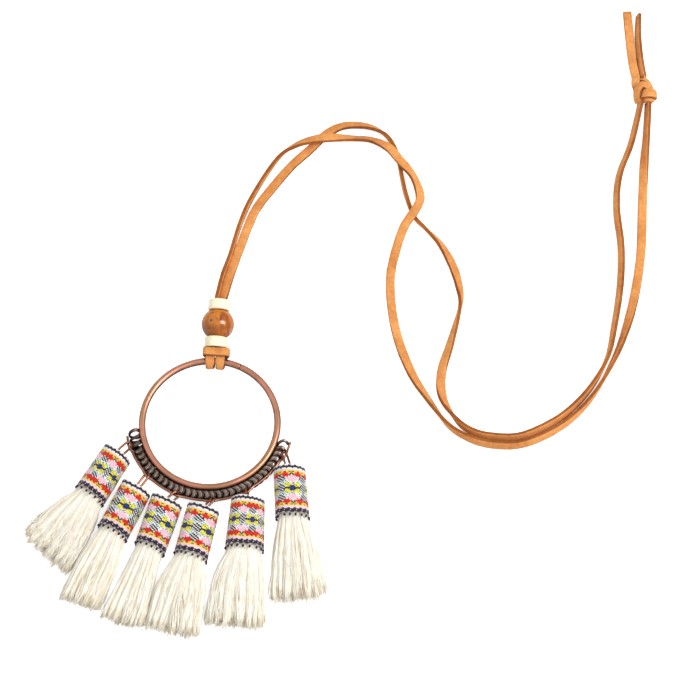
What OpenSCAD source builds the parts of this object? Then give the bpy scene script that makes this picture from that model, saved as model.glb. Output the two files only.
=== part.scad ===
// Tassel necklace laid flat: a copper hoop with a wire coil, six ribbon-wrapped tassels on jump rings,
// three beads, and a doubled suede lace tied in an overhand knot. Millimetres, resting on z = 0.
// The origin is the middle of the hoop, on the surface the necklace lies on.

/* [Hoop and coil] */
// Outer diameter of the hoop
hoop_d = 52; // [46:0.5:60]
// Diameter of the hoop's round wire
hoop_wire = 2.5; // [1.8:0.1:3.2]
// Outer diameter of the coil on the hoop's lower side
coil_d = 4.4; // [3.6:0.1:5.2]
// Width of the coil's flattened wire
coil_wire_w = 1.5; // [1:0.1:1.8]
// Thickness of the coil's flattened wire
coil_wire_t = 0.8; // [0.6:0.1:1.1]
// Number of turns in the coil
coil_turns = 34; // [24:1:36]
// How deep the solder sinks the coil into the hoop
solder_bite = 0.3; // [0.2:0.05:0.4]

/* [Rail wire and jump rings] */
// Diameter of the rail wire that the jump rings hang on
rail_wire_d = 0.9; // [0.6:0.1:1.1]
// Diameter of a jump ring's wire
jump_wire = 0.75; // [0.5:0.05:0.9]
// Outer width of a jump ring
jump_w = 3.5; // [3.2:0.1:4.2]
// Distance from the rail wire to a tassel's head
link_reach = 4.5; // [4.2:0.1:6]

/* [Tassels] */
// Height of the ribbon round a tassel's head
ribbon_w = 18.3; // [14:0.1:22]
// Thickness of the woven ribbon
ribbon_t = 1; // [0.6:0.1:1.4]
// Width of a tassel's head over the ribbon
head_w = 12; // [10.5:0.1:12.2]
// Height of a tassel's head as it lies
head_h = 10; // [8.5:0.1:11.5]
// Length of the fringe below the ribbon
skirt_len = 30; // [20:0.5:36]
// Height of the fringe at its cut ends as it lies
skirt_h = 6.2; // [4.5:0.1:7.5]
// Depth of the grooves between the locks at their ends
lock_depth = 1.1; // [0.5:0.1:1.4]
// Thickness of the yarn loop on top of a tassel
yarn_loop_t = 1.2; // [0.8:0.1:1.3]

/* [Beads] */
// Diameter of the wood bead
bead_d = 12; // [10:0.1:15]
// Length of the wood bead along its bore
bead_len = 10.2; // [7:0.1:10.8]
// Diameter of the disc bead farther from the hoop
disc_top_d = 8.2; // [7.4:0.1:9.6]
// Diameter of the disc bead nearer to the hoop
disc_bottom_d = 8.8; // [7.4:0.1:9.6]
// Length of a disc bead along its bore
disc_len = 4; // [2.5:0.1:5]
// Bore of the beads, which holds two laces
bead_bore = 5; // [5:0.1:5.6]
// Rounding of the edges of the disc beads
disc_round = 0.6; // [0.3:0.1:1]

/* [Lace] */
// Width of the flat suede lace
lace_w = 3.4; // [2.6:0.1:3.6]
// Thickness of the suede lace
lace_t = 1.5; // [1:0.1:1.6]

/* [Fit] */
// Clearance between pieces that lie against each other
gap = 0.1; // [0.05:0.01:0.15]

/* [Hidden] */

// Hoop, coil and rail, by radius from the hoop's middle and height
hoop_r = (hoop_d - hoop_wire) / 2;
wrap_r = hoop_wire / 2 + 1.6 * gap + lace_t / 2;
hoop_z = wrap_r + lace_t / 2 + gap / 2;
coil_z = coil_d / 2;
coil_reach = (hoop_wire + coil_d) / 2 - solder_bite;
coil_r = hoop_r + sqrt(pow(coil_reach, 2) - pow(hoop_z - coil_z, 2));
coil_from = 186;
coil_to = 345;
coil_steps = 10;
coil_helix = (coil_d - coil_wire_t) / 2;
rail_stand = jump_wire + 3 * gap;
rail_off = (coil_d + rail_wire_d) / 2 + rail_stand;
rail_rise = 37;
rail_r = coil_r + rail_off * cos(rail_rise);
rail_z = coil_z + rail_off * sin(rail_rise);
rail_clear = (coil_d + rail_wire_d) / 2 + gap;
// Degrees from the coil's ends to the rail's first and last stops
rail_start_in = 4;
rail_end_in = 3;

// Tassels: angles in degrees round the hoop, reach as a share of link_reach, widths to each side as
// shares of head_w, and the cut ends' distances from the ribbon as shares of skirt_len
// [hang angle, head angle, reach, pointing angle, head width, left mid, left tip, right mid, right tip,
//  left end, middle end, right end]
TASSELS = [
    [197.4, 200.7, 1.00, -120.4, 1.00, 0.84, 1.16, 0.67, 0.68, 0.76, 0.92, 0.97],
    [223.2, 225.0, 1.27, -115.2, 0.99, 0.60, 0.56, 0.62, 0.70, 0.99, 0.98, 0.93],
    [247.5, 244.4, 0.74, -107.2, 0.99, 0.54, 0.76, 0.43, 0.54, 0.93, 1.01, 0.90],
    [272.0, 267.4, 0.64, -102.8, 1.02, 0.79, 0.85, 0.68, 0.79, 0.88, 0.98, 0.90],
    [297.2, 295.6, 0.60, -93.1, 1.09, 0.92, 1.06, 0.64, 0.72, 0.94, 0.98, 0.95],
    [334.1, 327.9, 0.84, -86.1, 1.00, 0.64, 0.82, 0.68, 0.88, 0.97, 1.05, 0.97]];
T_HANG = 0;
T_HEAD = 1;
T_REACH = 2;
T_POINT = 3;
T_WIDTH = 4;
T_LEFT_MID = 5;
T_LEFT_TIP = 6;
T_RIGHT_MID = 7;
T_RIGHT_TIP = 8;
T_LEFT_END = 9;
T_MID_END = 10;
T_RIGHT_END = 11;

// A fringe's sections from the ribbon's edge to the cut ends
// [share of the fringe's length, blend from head width to mid width, blend from mid to tip width,
//  blend from head height to tip height, share of lock_depth]
FRINGE = [
    [0.00, 0.00, 0.00, 0.00, 0.00],
    [0.07, 0.22, 0.00, 0.18, 0.15],
    [0.20, 0.62, 0.00, 0.42, 0.35],
    [0.42, 1.00, 0.10, 0.68, 0.60],
    [0.68, 1.00, 0.55, 0.88, 0.80],
    [1.00, 1.00, 1.00, 1.00, 1.00]];
core_inset = 1;
core_fit = gap + 0.05;
fringe_top_points = 36;
fringe_under_points = 8;
locks = 9;
notch_share = 0.09;

// The yarn loop and the far end of the jump ring that it holds, in a tassel's own frame
jump_run = (jump_w - jump_wire) / 2;
yarn_loop_r = yarn_loop_t / 2 + jump_wire + gap;
yarn_loop_s = 0.35;
yarn_loop_parts = 8;

// Beads and hitch, in the hitch's frame: x along the hoop's wire, y away from the hoop, z up
hitch_angle = 86.5;
bead_reach = 13.5;
half_stack = bead_len / 2 + disc_len;
stack_reach = sqrt(pow(half_stack, 2) + pow(disc_bottom_d / 2, 2));
stack_tilt = max(0, asin((bead_d / 2 - gap / 2) / stack_reach) - atan2(disc_bottom_d / 2, half_stack));
bead_z = max(bead_d, disc_bottom_d, disc_top_d) / 2;
stack_dir = [0, cos(stack_tilt), sin(stack_tilt)];
bore_side = (bead_bore - 2 * gap) / 4;
bore_lace_t = lace_w * lace_t / (2 * bore_side) * 0.9;
lace_side = (lace_w + 3 * gap) / 2;
bight_z = wrap_r + lace_t + 2 * gap;
bight_y = 2.15;
bight_w = lace_w * 0.9;
bight_x = lace_w + 3 * gap + lace_t / 2;
neck_y = 2.7;
wrap_first = 75;
wrap_last = 283;
wrap_steps = 8;

// How far each free lace has turned about its own line where it leaves the beads
left_exit_turn = 90;
right_exit_turn = 35;

// The two free laces of the neck loop, past the beads:
// [x, y, lift over lying on the surface, turn of the lace about its own line]
STRAND_LEFT = [
    [3.5, 57, 6.3, 90], [6, 66, 4.6, 90], [10, 81.5, 1.4, 90], [14.5, 93.5, 0, 90], [23.5, 109, 0.2, 80],
    [30.5, 114, 2, 50], [37.5, 116, 3.6, 20], [44.5, 117.5, 2.4, 10], [52, 118, 0.4, 40],
    [59.5, 117, 1, 40], [66, 112.5, 3.9, 10], [70.5, 107, 3.9, 0], [75.5, 100.5, 2.6, 0],
    [78, 92, 2.6, 10], [76, 86, 4, 0], [72, 80, 2.8, 0], [69, 72, 0.6, 0], [66.5, 60, 0, 0],
    [67, 46, 0, 0], [69.5, 33, 0, 10], [74, 20.5, 0, 35], [79, 11.5, 0, 65],
    [86.5, 0.5, 0, 90], [93, -4.5, 0, 90], [101, -7.5, 0, 90], [112, -8, 0, 90],
    [122, -4.5, 0, 90], [132, 2, 0, 90], [141, 12, 0, 90], [149, 26, 0, 90],
    [154, 38.5, 0, 75], [158, 53, 0, 20], [161, 70, 0, 0], [162.5, 90, 0, 0],
    [164, 108, 0, 55], [165, 118, 0, 90], [166.5, 133.4, 0, 90]];
STRAND_RIGHT = [
    [6.5, 57, 7, 10], [10.5, 71.5, 4.2, 0], [13, 80.5, 1.8, 0], [16, 88.5, 0.4, 0], [22, 97.5, 0, 0],
    [29, 106.5, 0, 10], [36, 113.5, 0, 10], [42, 120, 0, 10], [48, 123.5, 0, 20], [54.5, 124, 0, 30],
    [60.5, 122.5, 0, 50], [66, 118.5, 0, 80], [69.5, 111, 0, 90], [71, 102.5, 0, 90],
    [72.5, 94.5, 0, 90], [75.5, 85, 0, 80], [80, 79.5, 0, 60], [85.5, 74, 0, 25],
    [90, 64.5, 0, 0], [92.5, 54.5, 0, 20], [92.5, 47, 0, 60], [88.5, 32.5, 0, 20],
    [85, 20.5, 0, 0], [85.5, 10, 0, 50], [91, 1, 0, 90], [96.5, -3, 0, 90],
    [103, -4.5, 0, 90], [112.5, -4.5, 0, 90], [122, -0.5, 0, 90], [131, 5.5, 0, 90],
    [139.5, 15, 0, 90], [146, 27, 0, 90], [149.5, 39, 0, 90], [152.5, 56, 0, 90],
    [153.5, 72, 0, 90], [152.5, 88, 0, 90], [154, 102, 0, 90], [159, 116, 0, 90],
    [163.5, 133.4, 0, 90]];
TAIL_LEFT = [[163.2, 144.6, 0, 70], [162, 152, 0, 30], [161, 163, 0, 0], [160.5, 174.5, 0, 0]];
TAIL_RIGHT = [[166.4, 144.6, 0, 90], [165.2, 153, 0, 90], [164.5, 163, 0, 90], [165, 173, 0, 90]];

// The overhand knot, from its lower face to its upper one: [y, middle in x, half width, height]
KNOT = [
    [133.5, 165, 3.6, 4.4], [134.6, 165, 4.3, 5.8], [137, 165.1, 4.7, 6.6],
    [140, 165, 4.4, 6.6], [142.8, 164.7, 4, 5.6], [144.5, 164.7, 3.2, 4]];
knot_sides = 12;

function unit(v) = v / norm(v);
function mix(a, b, t) = a + (b - a) * t;
function polar(r, angle, z = 0) = [r * cos(angle), r * sin(angle), z];
function sign_power(v, p) = sign(v) * pow(abs(v), p);
function turned(v, angle) = [v.x * cos(angle) - v.y * sin(angle), v.x * sin(angle) + v.y * cos(angle)];
function flat_dir(a, b) = unit([b.x - a.x, b.y - a.y, 0]);
function mirrored(v) = [-v.x, v.y, v.z];

// Triangles between rings of n points, and a fan of them over each end
function tube_faces(rings, n) = concat(
    [for (i = [1:n - 2]) [0, i, i + 1]],
    [for (k = [0:rings - 2]) for (i = [0:n - 1])
        let (a = k * n + i, b = k * n + (i + 1) % n)
        each [[a, a + n, b + n], [a, b + n, b]]],
    [for (i = [1:n - 2]) let (a = (rings - 1) * n) [a, a + i + 1, a + i]]);

// A flat lace's eight-sided section about a point, across its width and its thickness
LACE_SECTION = [
    [1, 0.4], [1, -0.4], [0.72, -1], [-0.72, -1], [-1, -0.4], [-1, 0.4], [-0.72, 1], [0.72, 1]];
function lace_ring(p, across, up, w, t) = [for (q = LACE_SECTION)
    p + across * q[0] * w / 2 + up * q[1] * t / 2];

function along(points, i) = unit(points[min(i + 1, len(points) - 1)] - points[max(i - 1, 0)]);

// A lace's ring at one point of its route, turned about its line from lying flat
function route_ring(p, d, turn, w, t) =
    let (
        side = unit(cross(d, [0, 0, 1])),
        up = cross(side, d))
    lace_ring(p, side * cos(turn) + up * sin(turn), up * cos(turn) - side * sin(turn), w, t);

// How high the middle of a lace lies over the surface when it is turned about its line
function lying(turn) = gap / 2 + max([for (q = LACE_SECTION)
    abs(q[0]) * lace_w / 2 * sin(turn) + abs(q[1]) * lace_t / 2 * cos(turn)]);

// A lace along its rows, from a start of its own if one is given, square to first_dir and last_dir
module lace(rows, start, turn, first_dir, last_dir) {
    lying_points = [for (r = rows) [r[0], r[1], r[2] + lying(r[3])]];
    points = is_undef(start) ? lying_points : concat([start], lying_points);
    turns = concat(is_undef(start) ? [] : [turn], [for (r = rows) r[3]]);
    last = len(points) - 1;
    rings = [for (i = [0:last])
        let (d = i == 0 ? first_dir : i == last ? last_dir : along(points, i))
        route_ring(points[i], d, turns[i], lace_w, lace_t)];
    polyhedron([for (r = rings) each r], tube_faces(len(rings), len(LACE_SECTION)), convexity = 10);
}

// Hoop: a round wire ring, and a coil of flattened wire soldered round its lower outer side
function coil_point(turn, off_out, off_along) =
    let (
        share = turn / coil_turns,
        angle = mix(coil_from, coil_to, share) + off_along / coil_r * 180 / PI,
        around = 180 - turn * 360,
        r = coil_helix + off_out)
    polar(coil_r + r * cos(around), angle, coil_z + r * sin(around));

module coil() {
    section = [[0.5, -0.22], [0.5, 0.22], [0, 0.5], [-0.5, 0.22], [-0.5, -0.22], [0, -0.5]];
    rings = coil_turns * coil_steps;
    points = [for (k = [0:rings]) for (q = section)
        coil_point(k / coil_steps, q[1] * coil_wire_t, q[0] * coil_wire_w)];
    polyhedron(points, tube_faces(rings + 1, len(section)), convexity = 20);
}

module solder_spot(turn) {
    angle = mix(coil_from, coil_to, turn / coil_turns);
    hull() {
        translate(polar(hoop_r, angle, hoop_z)) sphere(d = hoop_wire * 0.6, $fn = 6);
        translate(polar(coil_r - coil_helix, angle, coil_z)) sphere(d = coil_wire_t, $fn = 6);
    }
}

module hoop() {
    color("#9c6450") {
        translate([0, 0, hoop_z]) rotate_extrude($fn = 64)
            translate([hoop_r, 0]) circle(d = hoop_wire, $fn = 10);
        coil();
        for (turn = [0.5:4:coil_turns]) solder_spot(turn);
    }
}

// Rail wire: straight from one tassel's place to the next, over the coil's shoulder where it would meet it
function rail_chord(a, b, t) =
    let (
        p = mix(polar(rail_r, a), polar(rail_r, b), t),
        r = norm(p),
        over = sqrt(max(0, pow(rail_clear, 2) - pow(r - coil_r, 2))))
    [p.x, p.y, max(rail_z, coil_z + over)];

rail_stops = concat([coil_from + rail_start_in], [for (t = TASSELS) t[T_HANG]], [coil_to - rail_end_in]);
rail_steps = 4;

module rail_wire() {
    last = len(rail_stops) - 1;
    path = concat(
        [for (k = [0:last - 1]) for (i = [0:rail_steps - 1])
            rail_chord(rail_stops[k], rail_stops[k + 1], i / rail_steps)],
        [rail_chord(rail_stops[last - 1], rail_stops[last], 1)]);
    rings = [for (i = [0:len(path) - 1])
        let (d = along(path, i), side = unit(cross(d, [0, 0, 1])), up = cross(side, d))
        [for (a = [300:-60:0]) path[i] + (side * cos(a) + up * sin(a)) * rail_wire_d / 2]];
    color("#a4694e") polyhedron([for (r = rings) each r], tube_faces(len(rings), 6), convexity = 10);
}

// A tassel's place: the middle of its head's top edge, on the surface
function head_place(t) = polar(rail_r + t[T_REACH] * link_reach, t[T_HEAD]);
function head_dir(t) = polar(1, t[T_POINT]);

// A jump ring runs upright from round the rail wire to inside the yarn loop
function ring_far(t) = let (p = head_place(t) + head_dir(t) * yarn_loop_s) [p.x, p.y, rail_z];
function ring_dir(t) = flat_dir(polar(rail_r, t[T_HANG]), ring_far(t));
function rail_dir(k) = flat_dir(polar(rail_r, rail_stops[k]), polar(rail_r, rail_stops[k + 1]));
function ring_near(i) =
    let (
        d = ring_dir(TASSELS[i]),
        across = min([for (k = [i, i + 1]) norm(cross(d, rail_dir(k)))]))
    polar(rail_r, rail_stops[i + 1], rail_z) - d * ((rail_wire_d + jump_wire) / 2 + gap) / across;

module jump_ring(i) {
    t = TASSELS[i];
    d = ring_dir(t);
    length = norm(ring_far(t) - ring_near(i)) - 2 * jump_run;
    color("#ae7355") translate(ring_near(i)) rotate([0, 0, atan2(d.y, d.x)]) rotate([90, 0, 0]) {
        translate([jump_run, 0, 0]) {
            rotate([0, 0, 90]) rotate_extrude(angle = 180, $fn = 40) translate([jump_run, 0])
                circle(d = jump_wire, $fn = 24);
            translate([length, 0, 0]) rotate([0, 0, -90]) rotate_extrude(angle = 180, $fn = 40)
                translate([jump_run, 0]) circle(d = jump_wire, $fn = 24);
            for (side = [-1, 1]) translate([0, side * jump_run, 0]) rotate([0, 90, 0])
                cylinder(d = jump_wire, h = length, $fn = 24);
        }
    }
}

// Everything of one tassel is drawn in its own frame: x down the tassel, y to its right, z up
module at_tassel(i) {
    t = TASSELS[i];
    translate(head_place(t)) rotate([0, 0, t[T_POINT]]) children();
}

module stadium(w, h) {
    r = min(w, h) / 2;
    for (side = [-1, 1]) translate([side * (w / 2 - r), 0]) circle(r = r, $fn = 64);
    square([w - 2 * r, 2 * r], center = true);
}

// Band: the woven ribbon round the head, an open oval tube
module band(i) {
    w = head_w * TASSELS[i][T_WIDTH];
    color("#e8d9a0") at_tassel(i) translate([0, 0, head_h / 2]) rotate([90, 0, 90])
        linear_extrude(ribbon_w) difference() {
            stadium(w, head_h);
            stadium(w - 2 * ribbon_t, head_h - 2 * ribbon_t);
        }
}

// One point of a fringe's section. place runs from 0 at one side over the top to 1 at the other side.
function lock_wave(place) = (1 - cos(place * 360 * locks)) / 2;

function fringe_point(t, row, place, under) =
    let (
        core_w = (head_w * t[T_WIDTH]) / 2 - ribbon_t - core_fit,
        core_h = head_h / 2 - ribbon_t - core_fit,
        left = mix(mix(core_w, t[T_LEFT_MID] * head_w, row[1]), t[T_LEFT_TIP] * head_w, row[2]),
        right = mix(mix(core_w, t[T_RIGHT_MID] * head_w, row[1]), t[T_RIGHT_TIP] * head_w, row[2]),
        middle_z = mix(head_h / 2, skirt_h * 0.36, row[3]),
        top_h = mix(core_h, skirt_h - skirt_h * 0.36, row[3]),
        under_h = mix(core_h, skirt_h * 0.36 - gap / 2, row[3]),
        angle = under ? 180 + place * 180 : place * 180,
        groove = under ? 0 : (1 - lock_wave(place)) * lock_depth * row[4],
        edge = cos(angle) > 0 ? right : left,
        end = place < 0.5 ? mix(t[T_RIGHT_END], t[T_MID_END], sin(place * 180))
            : mix(t[T_LEFT_END], t[T_MID_END], sin(place * 180)),
        ragged = 1 - notch_share * (under ? 0.5 : 1 - lock_wave(place)) * row[4],
        blunt = mix(1, 0.82, row[3]))
    [
        ribbon_w + skirt_len * row[0] * mix(1, end, row[0]) * mix(1, ragged, row[0]),
        sign_power(cos(angle), blunt) * max(0.2, edge - groove * 0.3),
        middle_z + (under ? -under_h * pow(abs(sin(angle)), mix(1, 0.5, row[3]))
            : (top_h - groove) * pow(abs(sin(angle)), blunt))];

function fringe_ring(t, row) = concat(
    [for (k = [0:fringe_top_points - 1]) fringe_point(t, row, k / fringe_top_points, false)],
    [for (k = [0:fringe_under_points - 1])
        let (share = k / fringe_under_points)
        fringe_point(t, row, under_place(share), true)]);

function under_place(share) = (1 - cos(share * 180)) / 2;

module fringe(t) {
    n = fringe_top_points + fringe_under_points;
    head = [for (p = fringe_ring(t, FRINGE[0])) [core_inset, p.y, p.z]];
    rings = concat([head], [for (row = FRINGE) fringe_ring(t, row)]);
    polyhedron([for (r = rings) each r], tube_faces(len(rings), n), convexity = 10);
}

// The fold of the yarn, standing out of the head's top for the jump ring
module yarn_loop() {
    function bend(a) = [yarn_loop_s - yarn_loop_r * sin(a), yarn_loop_r * cos(a), rail_z];
    ends = [for (side = [1, -1]) [core_inset + yarn_loop_t, side * yarn_loop_r, rail_z]];
    path = concat([ends[0]], [for (k = [0:yarn_loop_parts]) bend(k * 180 / yarn_loop_parts)], [ends[1]]);
    for (k = [0:len(path) - 2]) hull() for (p = [path[k], path[k + 1]]) translate(p)
        sphere(d = yarn_loop_t, $fn = 8);
}

// Skirt: the tassel's yarn, its core inside the ribbon and its fringe in locks below it
module skirt(i) {
    color("#f1e9d6") at_tassel(i) {
        fringe(TASSELS[i]);
        yarn_loop();
    }
}

// The hitch's frame stands where the lace holds the hoop, with y away from the hoop's middle
module at_hitch() {
    rotate([0, 0, hitch_angle - 90]) translate([0, hoop_r, 0]) children();
}

// A bead or disc is turned about the line through both discs and the bead
module on_stack(offset) {
    at_hitch() translate([0, bead_reach, bead_z] + stack_dir * offset) rotate([stack_tilt - 90, 0, 0])
        children();
}

module disc_bead(d) {
    difference() {
        rotate_extrude($fn = 72) {
            square([d / 2 - disc_round, disc_len]);
            translate([0, disc_round]) square([d / 2, disc_len - 2 * disc_round]);
            for (y = [disc_round, disc_len - disc_round]) translate([d / 2 - disc_round, y])
                circle(r = disc_round, $fn = 24);
        }
        translate([0, 0, -1]) cylinder(d = bead_bore, h = disc_len + 2, $fn = 48);
    }
}

module bead() {
    color("#b06a20") on_stack(0) difference() {
        intersection() {
            sphere(d = bead_d, $fn = 72);
            cube([bead_d + 2, bead_d + 2, bead_len], center = true);
        }
        cylinder(d = bead_bore, h = bead_d + 2, center = true, $fn = 48);
    }
}

module disc_top() {
    color("#f5edcf") on_stack(bead_len / 2 + gap / 2) disc_bead(disc_top_d);
}

module disc_bottom() {
    color("#f5edcf") on_stack(-bead_len / 2 - disc_len - gap / 2) disc_bead(disc_bottom_d);
}

// Hitch: half of the lark's head, from the upper disc's far face down through the beads, over the hoop's
// wire and under it, up beside itself and to the middle of the bight that crosses in front
// Each row is [point, direction across the lace's width, width, thickness].
stack_end = half_stack + gap;
function hoop_sag(x) = -x * x / 2 / hoop_r;
function stack_point(offset, x) = [x, bead_reach, bead_z - hoop_z] + stack_dir * offset;
function wrap_row(a, x) = [
    [x, wrap_r * cos(a) + hoop_sag(x), wrap_r * sin(a)], [1, -x / hoop_r, 0], lace_w, lace_t];

function hitch_half() = concat(
    [
        [stack_point(stack_end, bore_side), [1, 0, 0], 2 * bore_side - gap, bore_lace_t],
        [stack_point(-stack_end, bore_side), [1, 0, 0], 2 * bore_side - gap, bore_lace_t],
        [[mix(bore_side, lace_side, 0.7), neck_y, mix(stack_point(-stack_end, 0).z, wrap_r, 0.7)], [1, 0, 0],
            mix(2 * bore_side, lace_w, 0.7), lace_t * 1.05]],
    [for (k = [0:wrap_steps]) wrap_row(mix(wrap_first, wrap_last, k / wrap_steps), lace_side)],
    [
        [[lace_side + 0.7, 1.9, -wrap_r + 0.55], [0.85, 0.5, 0.3], lace_w * 0.95, lace_t],
        [[bight_x - 0.7, 2.75, -0.9], [0.35, 0.9, 0.2], bight_w, lace_t],
        [[bight_x, 2.95, 0.6], [0, 1, 0], bight_w, lace_t],
        [[bight_x, 2.75, bight_z - 1.5], [0, 1, 0], bight_w, lace_t],
        [[bight_x - 0.45, 2.35, bight_z - 0.35], [0, 1, 0], bight_w, lace_t],
        [[bight_x - 1.6, bight_y, bight_z], [0, 1, 0], bight_w, lace_t]]);

module hitch() {
    half = hitch_half();
    count = len(half);
    rows = concat(half, [for (k = [count - 1:-1:0]) [
        mirrored(half[k][0]), mirrored(half[k][1]), half[k][2], half[k][3]]]);
    points = [for (r = rows) r[0]];
    rings = [for (k = [0:len(rows) - 1])
        let (
            d = k == 0 || k == len(rows) - 1 ? stack_dir * (k == 0 ? -1 : 1) : along(points, k),
            w = rows[k][1],
            across = unit(w - d * (w * d)),
            up = cross(across, d))
        lace_ring(points[k], across, up, rows[k][2], rows[k][3])];
    color("#d98c4a") at_hitch() translate([0, 0, hoop_z])
        polyhedron([for (r = rings) each r], tube_faces(len(rings), len(LACE_SECTION)), convexity = 10);
}

// The laces leave the upper disc's far face side by side
function lace_exit(side) =
    let (
        local = stack_point(half_stack + 2 * gap, side * bore_side),
        p = turned([local.x, local.y + hoop_r], hitch_angle - 90))
    [p.x, p.y, local.z + hoop_z];
exit_dir = let (p = turned([0, stack_dir.y], hitch_angle - 90)) [p.x, p.y, stack_dir.z];

module strand_left() {
    color("#cf7f3c") lace(STRAND_LEFT, lace_exit(-1), left_exit_turn, exit_dir, [0, 1, 0]);
}

module strand_right() {
    color("#e39a55") lace(STRAND_RIGHT, lace_exit(1), right_exit_turn, exit_dir, [0, 1, 0]);
}

// The knot's outer shape, with flat faces where the laces enter and leave
module tie_knot() {
    rings = [for (row = KNOT) [for (k = [0:knot_sides - 1])
        let (a = -k * 360 / knot_sides)
        [row[1] + row[2] * sign_power(cos(a), 0.8), row[0],
            row[3] / 2 + gap / 2 + row[3] / 2 * sign_power(sin(a), 0.8)]]];
    color("#d98c4a") polyhedron([for (r = rings) each r], tube_faces(len(rings), knot_sides), convexity = 4);
}

module tail_left() {
    color("#e39a55") lace(TAIL_LEFT, first_dir = [0, 1, 0], last_dir = [0, 1, 0]);
}

module tail_right() {
    color("#cf7f3c") lace(TAIL_RIGHT, first_dir = [0, 1, 0], last_dir = [0, 1, 0]);
}

hoop();
rail_wire();
for (i = [0:len(TASSELS) - 1]) {
    jump_ring(i);
    band(i);
    skirt(i);
}
bead();
disc_top();
disc_bottom();
hitch();
strand_left();
strand_right();
tie_knot();
tail_left();
tail_right();
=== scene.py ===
import bpy
import bmesh
import math
import random
from mathutils import Matrix, Vector


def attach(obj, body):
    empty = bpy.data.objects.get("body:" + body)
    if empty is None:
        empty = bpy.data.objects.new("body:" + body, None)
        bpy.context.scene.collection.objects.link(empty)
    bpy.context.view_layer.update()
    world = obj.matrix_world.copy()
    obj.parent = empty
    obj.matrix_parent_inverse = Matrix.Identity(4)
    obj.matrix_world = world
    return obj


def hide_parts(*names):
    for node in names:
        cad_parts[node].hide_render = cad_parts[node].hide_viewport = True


# Tassel necklace lying flat. Settings are in millimetres and degrees, and makePiece turns them into metres.
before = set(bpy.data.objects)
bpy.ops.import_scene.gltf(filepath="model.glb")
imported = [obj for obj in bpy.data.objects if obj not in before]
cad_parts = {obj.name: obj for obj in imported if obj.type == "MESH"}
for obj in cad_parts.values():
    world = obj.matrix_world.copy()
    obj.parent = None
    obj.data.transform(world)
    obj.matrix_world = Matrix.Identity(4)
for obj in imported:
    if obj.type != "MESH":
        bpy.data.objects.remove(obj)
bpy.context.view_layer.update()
scene = bpy.context.scene
dice = random.Random(11)
print("frame loaded:", len(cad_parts), "nodes")

# Camera at the photograph's angle
cameraSettings = {"lens": 135, "distance": 948, "elevation": 66.6, "target": (47.54, 34.44, 0)}


def placeCamera(s):
    rise = math.radians(s["elevation"])
    data = bpy.data.cameras.new("camera")
    data.lens = s["lens"]
    data.sensor_fit = "HORIZONTAL"
    data.clip_start = 0.01
    camera = bpy.data.objects.new("camera", data)
    scene.collection.objects.link(camera)
    back = Vector((0, -math.cos(rise), math.sin(rise))) * s["distance"]
    camera.location = (Vector(s["target"]) + back) * 0.001
    camera.rotation_euler = (math.radians(90) - rise, 0, 0)
    scene.camera = camera


placeCamera(cameraSettings)


# Small helpers for numbers and points
upAxis = Vector((0, 0, 1))


def mix(a, b, t):
    return a + (b - a) * t


def signPower(v, p):
    return math.copysign(abs(v) ** p, v)


def cosSin(angle):
    a = math.radians(angle)
    return math.cos(a), math.sin(a)


def polar(r, angle, z=0.0):
    c, s = cosSin(angle)
    return Vector((r * c, r * s, z))


def turnAbout(axis, angle):
    return Matrix.Rotation(math.radians(angle), 4, axis)


def colour(code):
    values = [int(code[k:k + 2], 16) / 255 for k in (1, 3, 5)]
    return [v / 12.92 if v <= 0.04045 else ((v + 0.055) / 1.055) ** 2.4 for v in values] + [1]


# A smooth line through rows of numbers, each span cut into steps
def smoothRows(rows, steps):
    out = []
    last = len(rows) - 1
    for k in range(last):
        four = [rows[max(k - 1, 0)], rows[k], rows[k + 1], rows[min(k + 2, last)]]
        for n in range(steps):
            t = n / steps
            out.append([0.5 * (2 * b + (c - a) * t + (2 * a - 5 * b + 4 * c - d) * t * t
                               + (3 * b - a - 3 * c + d) * t ** 3) for a, b, c, d in zip(*four)])
    out.append(list(rows[last]))
    return out


def along(points, k):
    return (points[min(k + 1, len(points) - 1)] - points[max(k - 1, 0)]).normalized()


# Faces round a run of rings of n points, with the slot of each side from sideSlot
def skinFaces(rings, n, first=0, sideSlot=None, endSlot=0, loop=False):
    faces, slots = [], []
    for k in range(rings if loop else rings - 1):
        a, b = first + k * n, first + (k + 1) % rings * n
        for i in range(n):
            j = (i + 1) % n
            faces.append((a + i, a + j, b + j, b + i))
            slots.append(sideSlot(k, i) if sideSlot else 0)
    if not loop:
        faces.append(tuple(first + i for i in reversed(range(n))))
        faces.append(tuple(first + (rings - 1) * n + i for i in range(n)))
        slots += [endSlot, endSlot]
    return faces, slots


def joinMeshes(parts):
    verts, faces, slots = [], [], []
    for v, f, s in parts:
        faces += [tuple(len(verts) + i for i in face) for face in f]
        verts += v
        slots += s
    return verts, faces, slots


def inSlot(mesh, slot):
    return mesh[0], mesh[1], [slot] * len(mesh[1])


# A round wire along points, closed or open, thinner or thicker by the share at each point. It starts its
# sides level, or at the axis that is given
def wireMesh(points, radius, sides, loop=False, share=None, axis=None):
    verts = []
    count = len(points)
    spokes = [cosSin(360 * i / sides) for i in range(sides)]
    for k, p in enumerate(points):
        d = (points[(k + 1) % count] - points[k - 1]).normalized() if loop else along(points, k)
        side = d.cross(upAxis) if axis is None else axis
        side = side.normalized() if side.length > 0.05 else Vector((1, 0, 0))
        up = side.cross(d).normalized()
        r = radius * (share(k) if share else 1)
        verts += [p + (side * c + up * s) * r for c, s in spokes]
    return verts, *skinFaces(count, sides, loop=loop)


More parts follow.
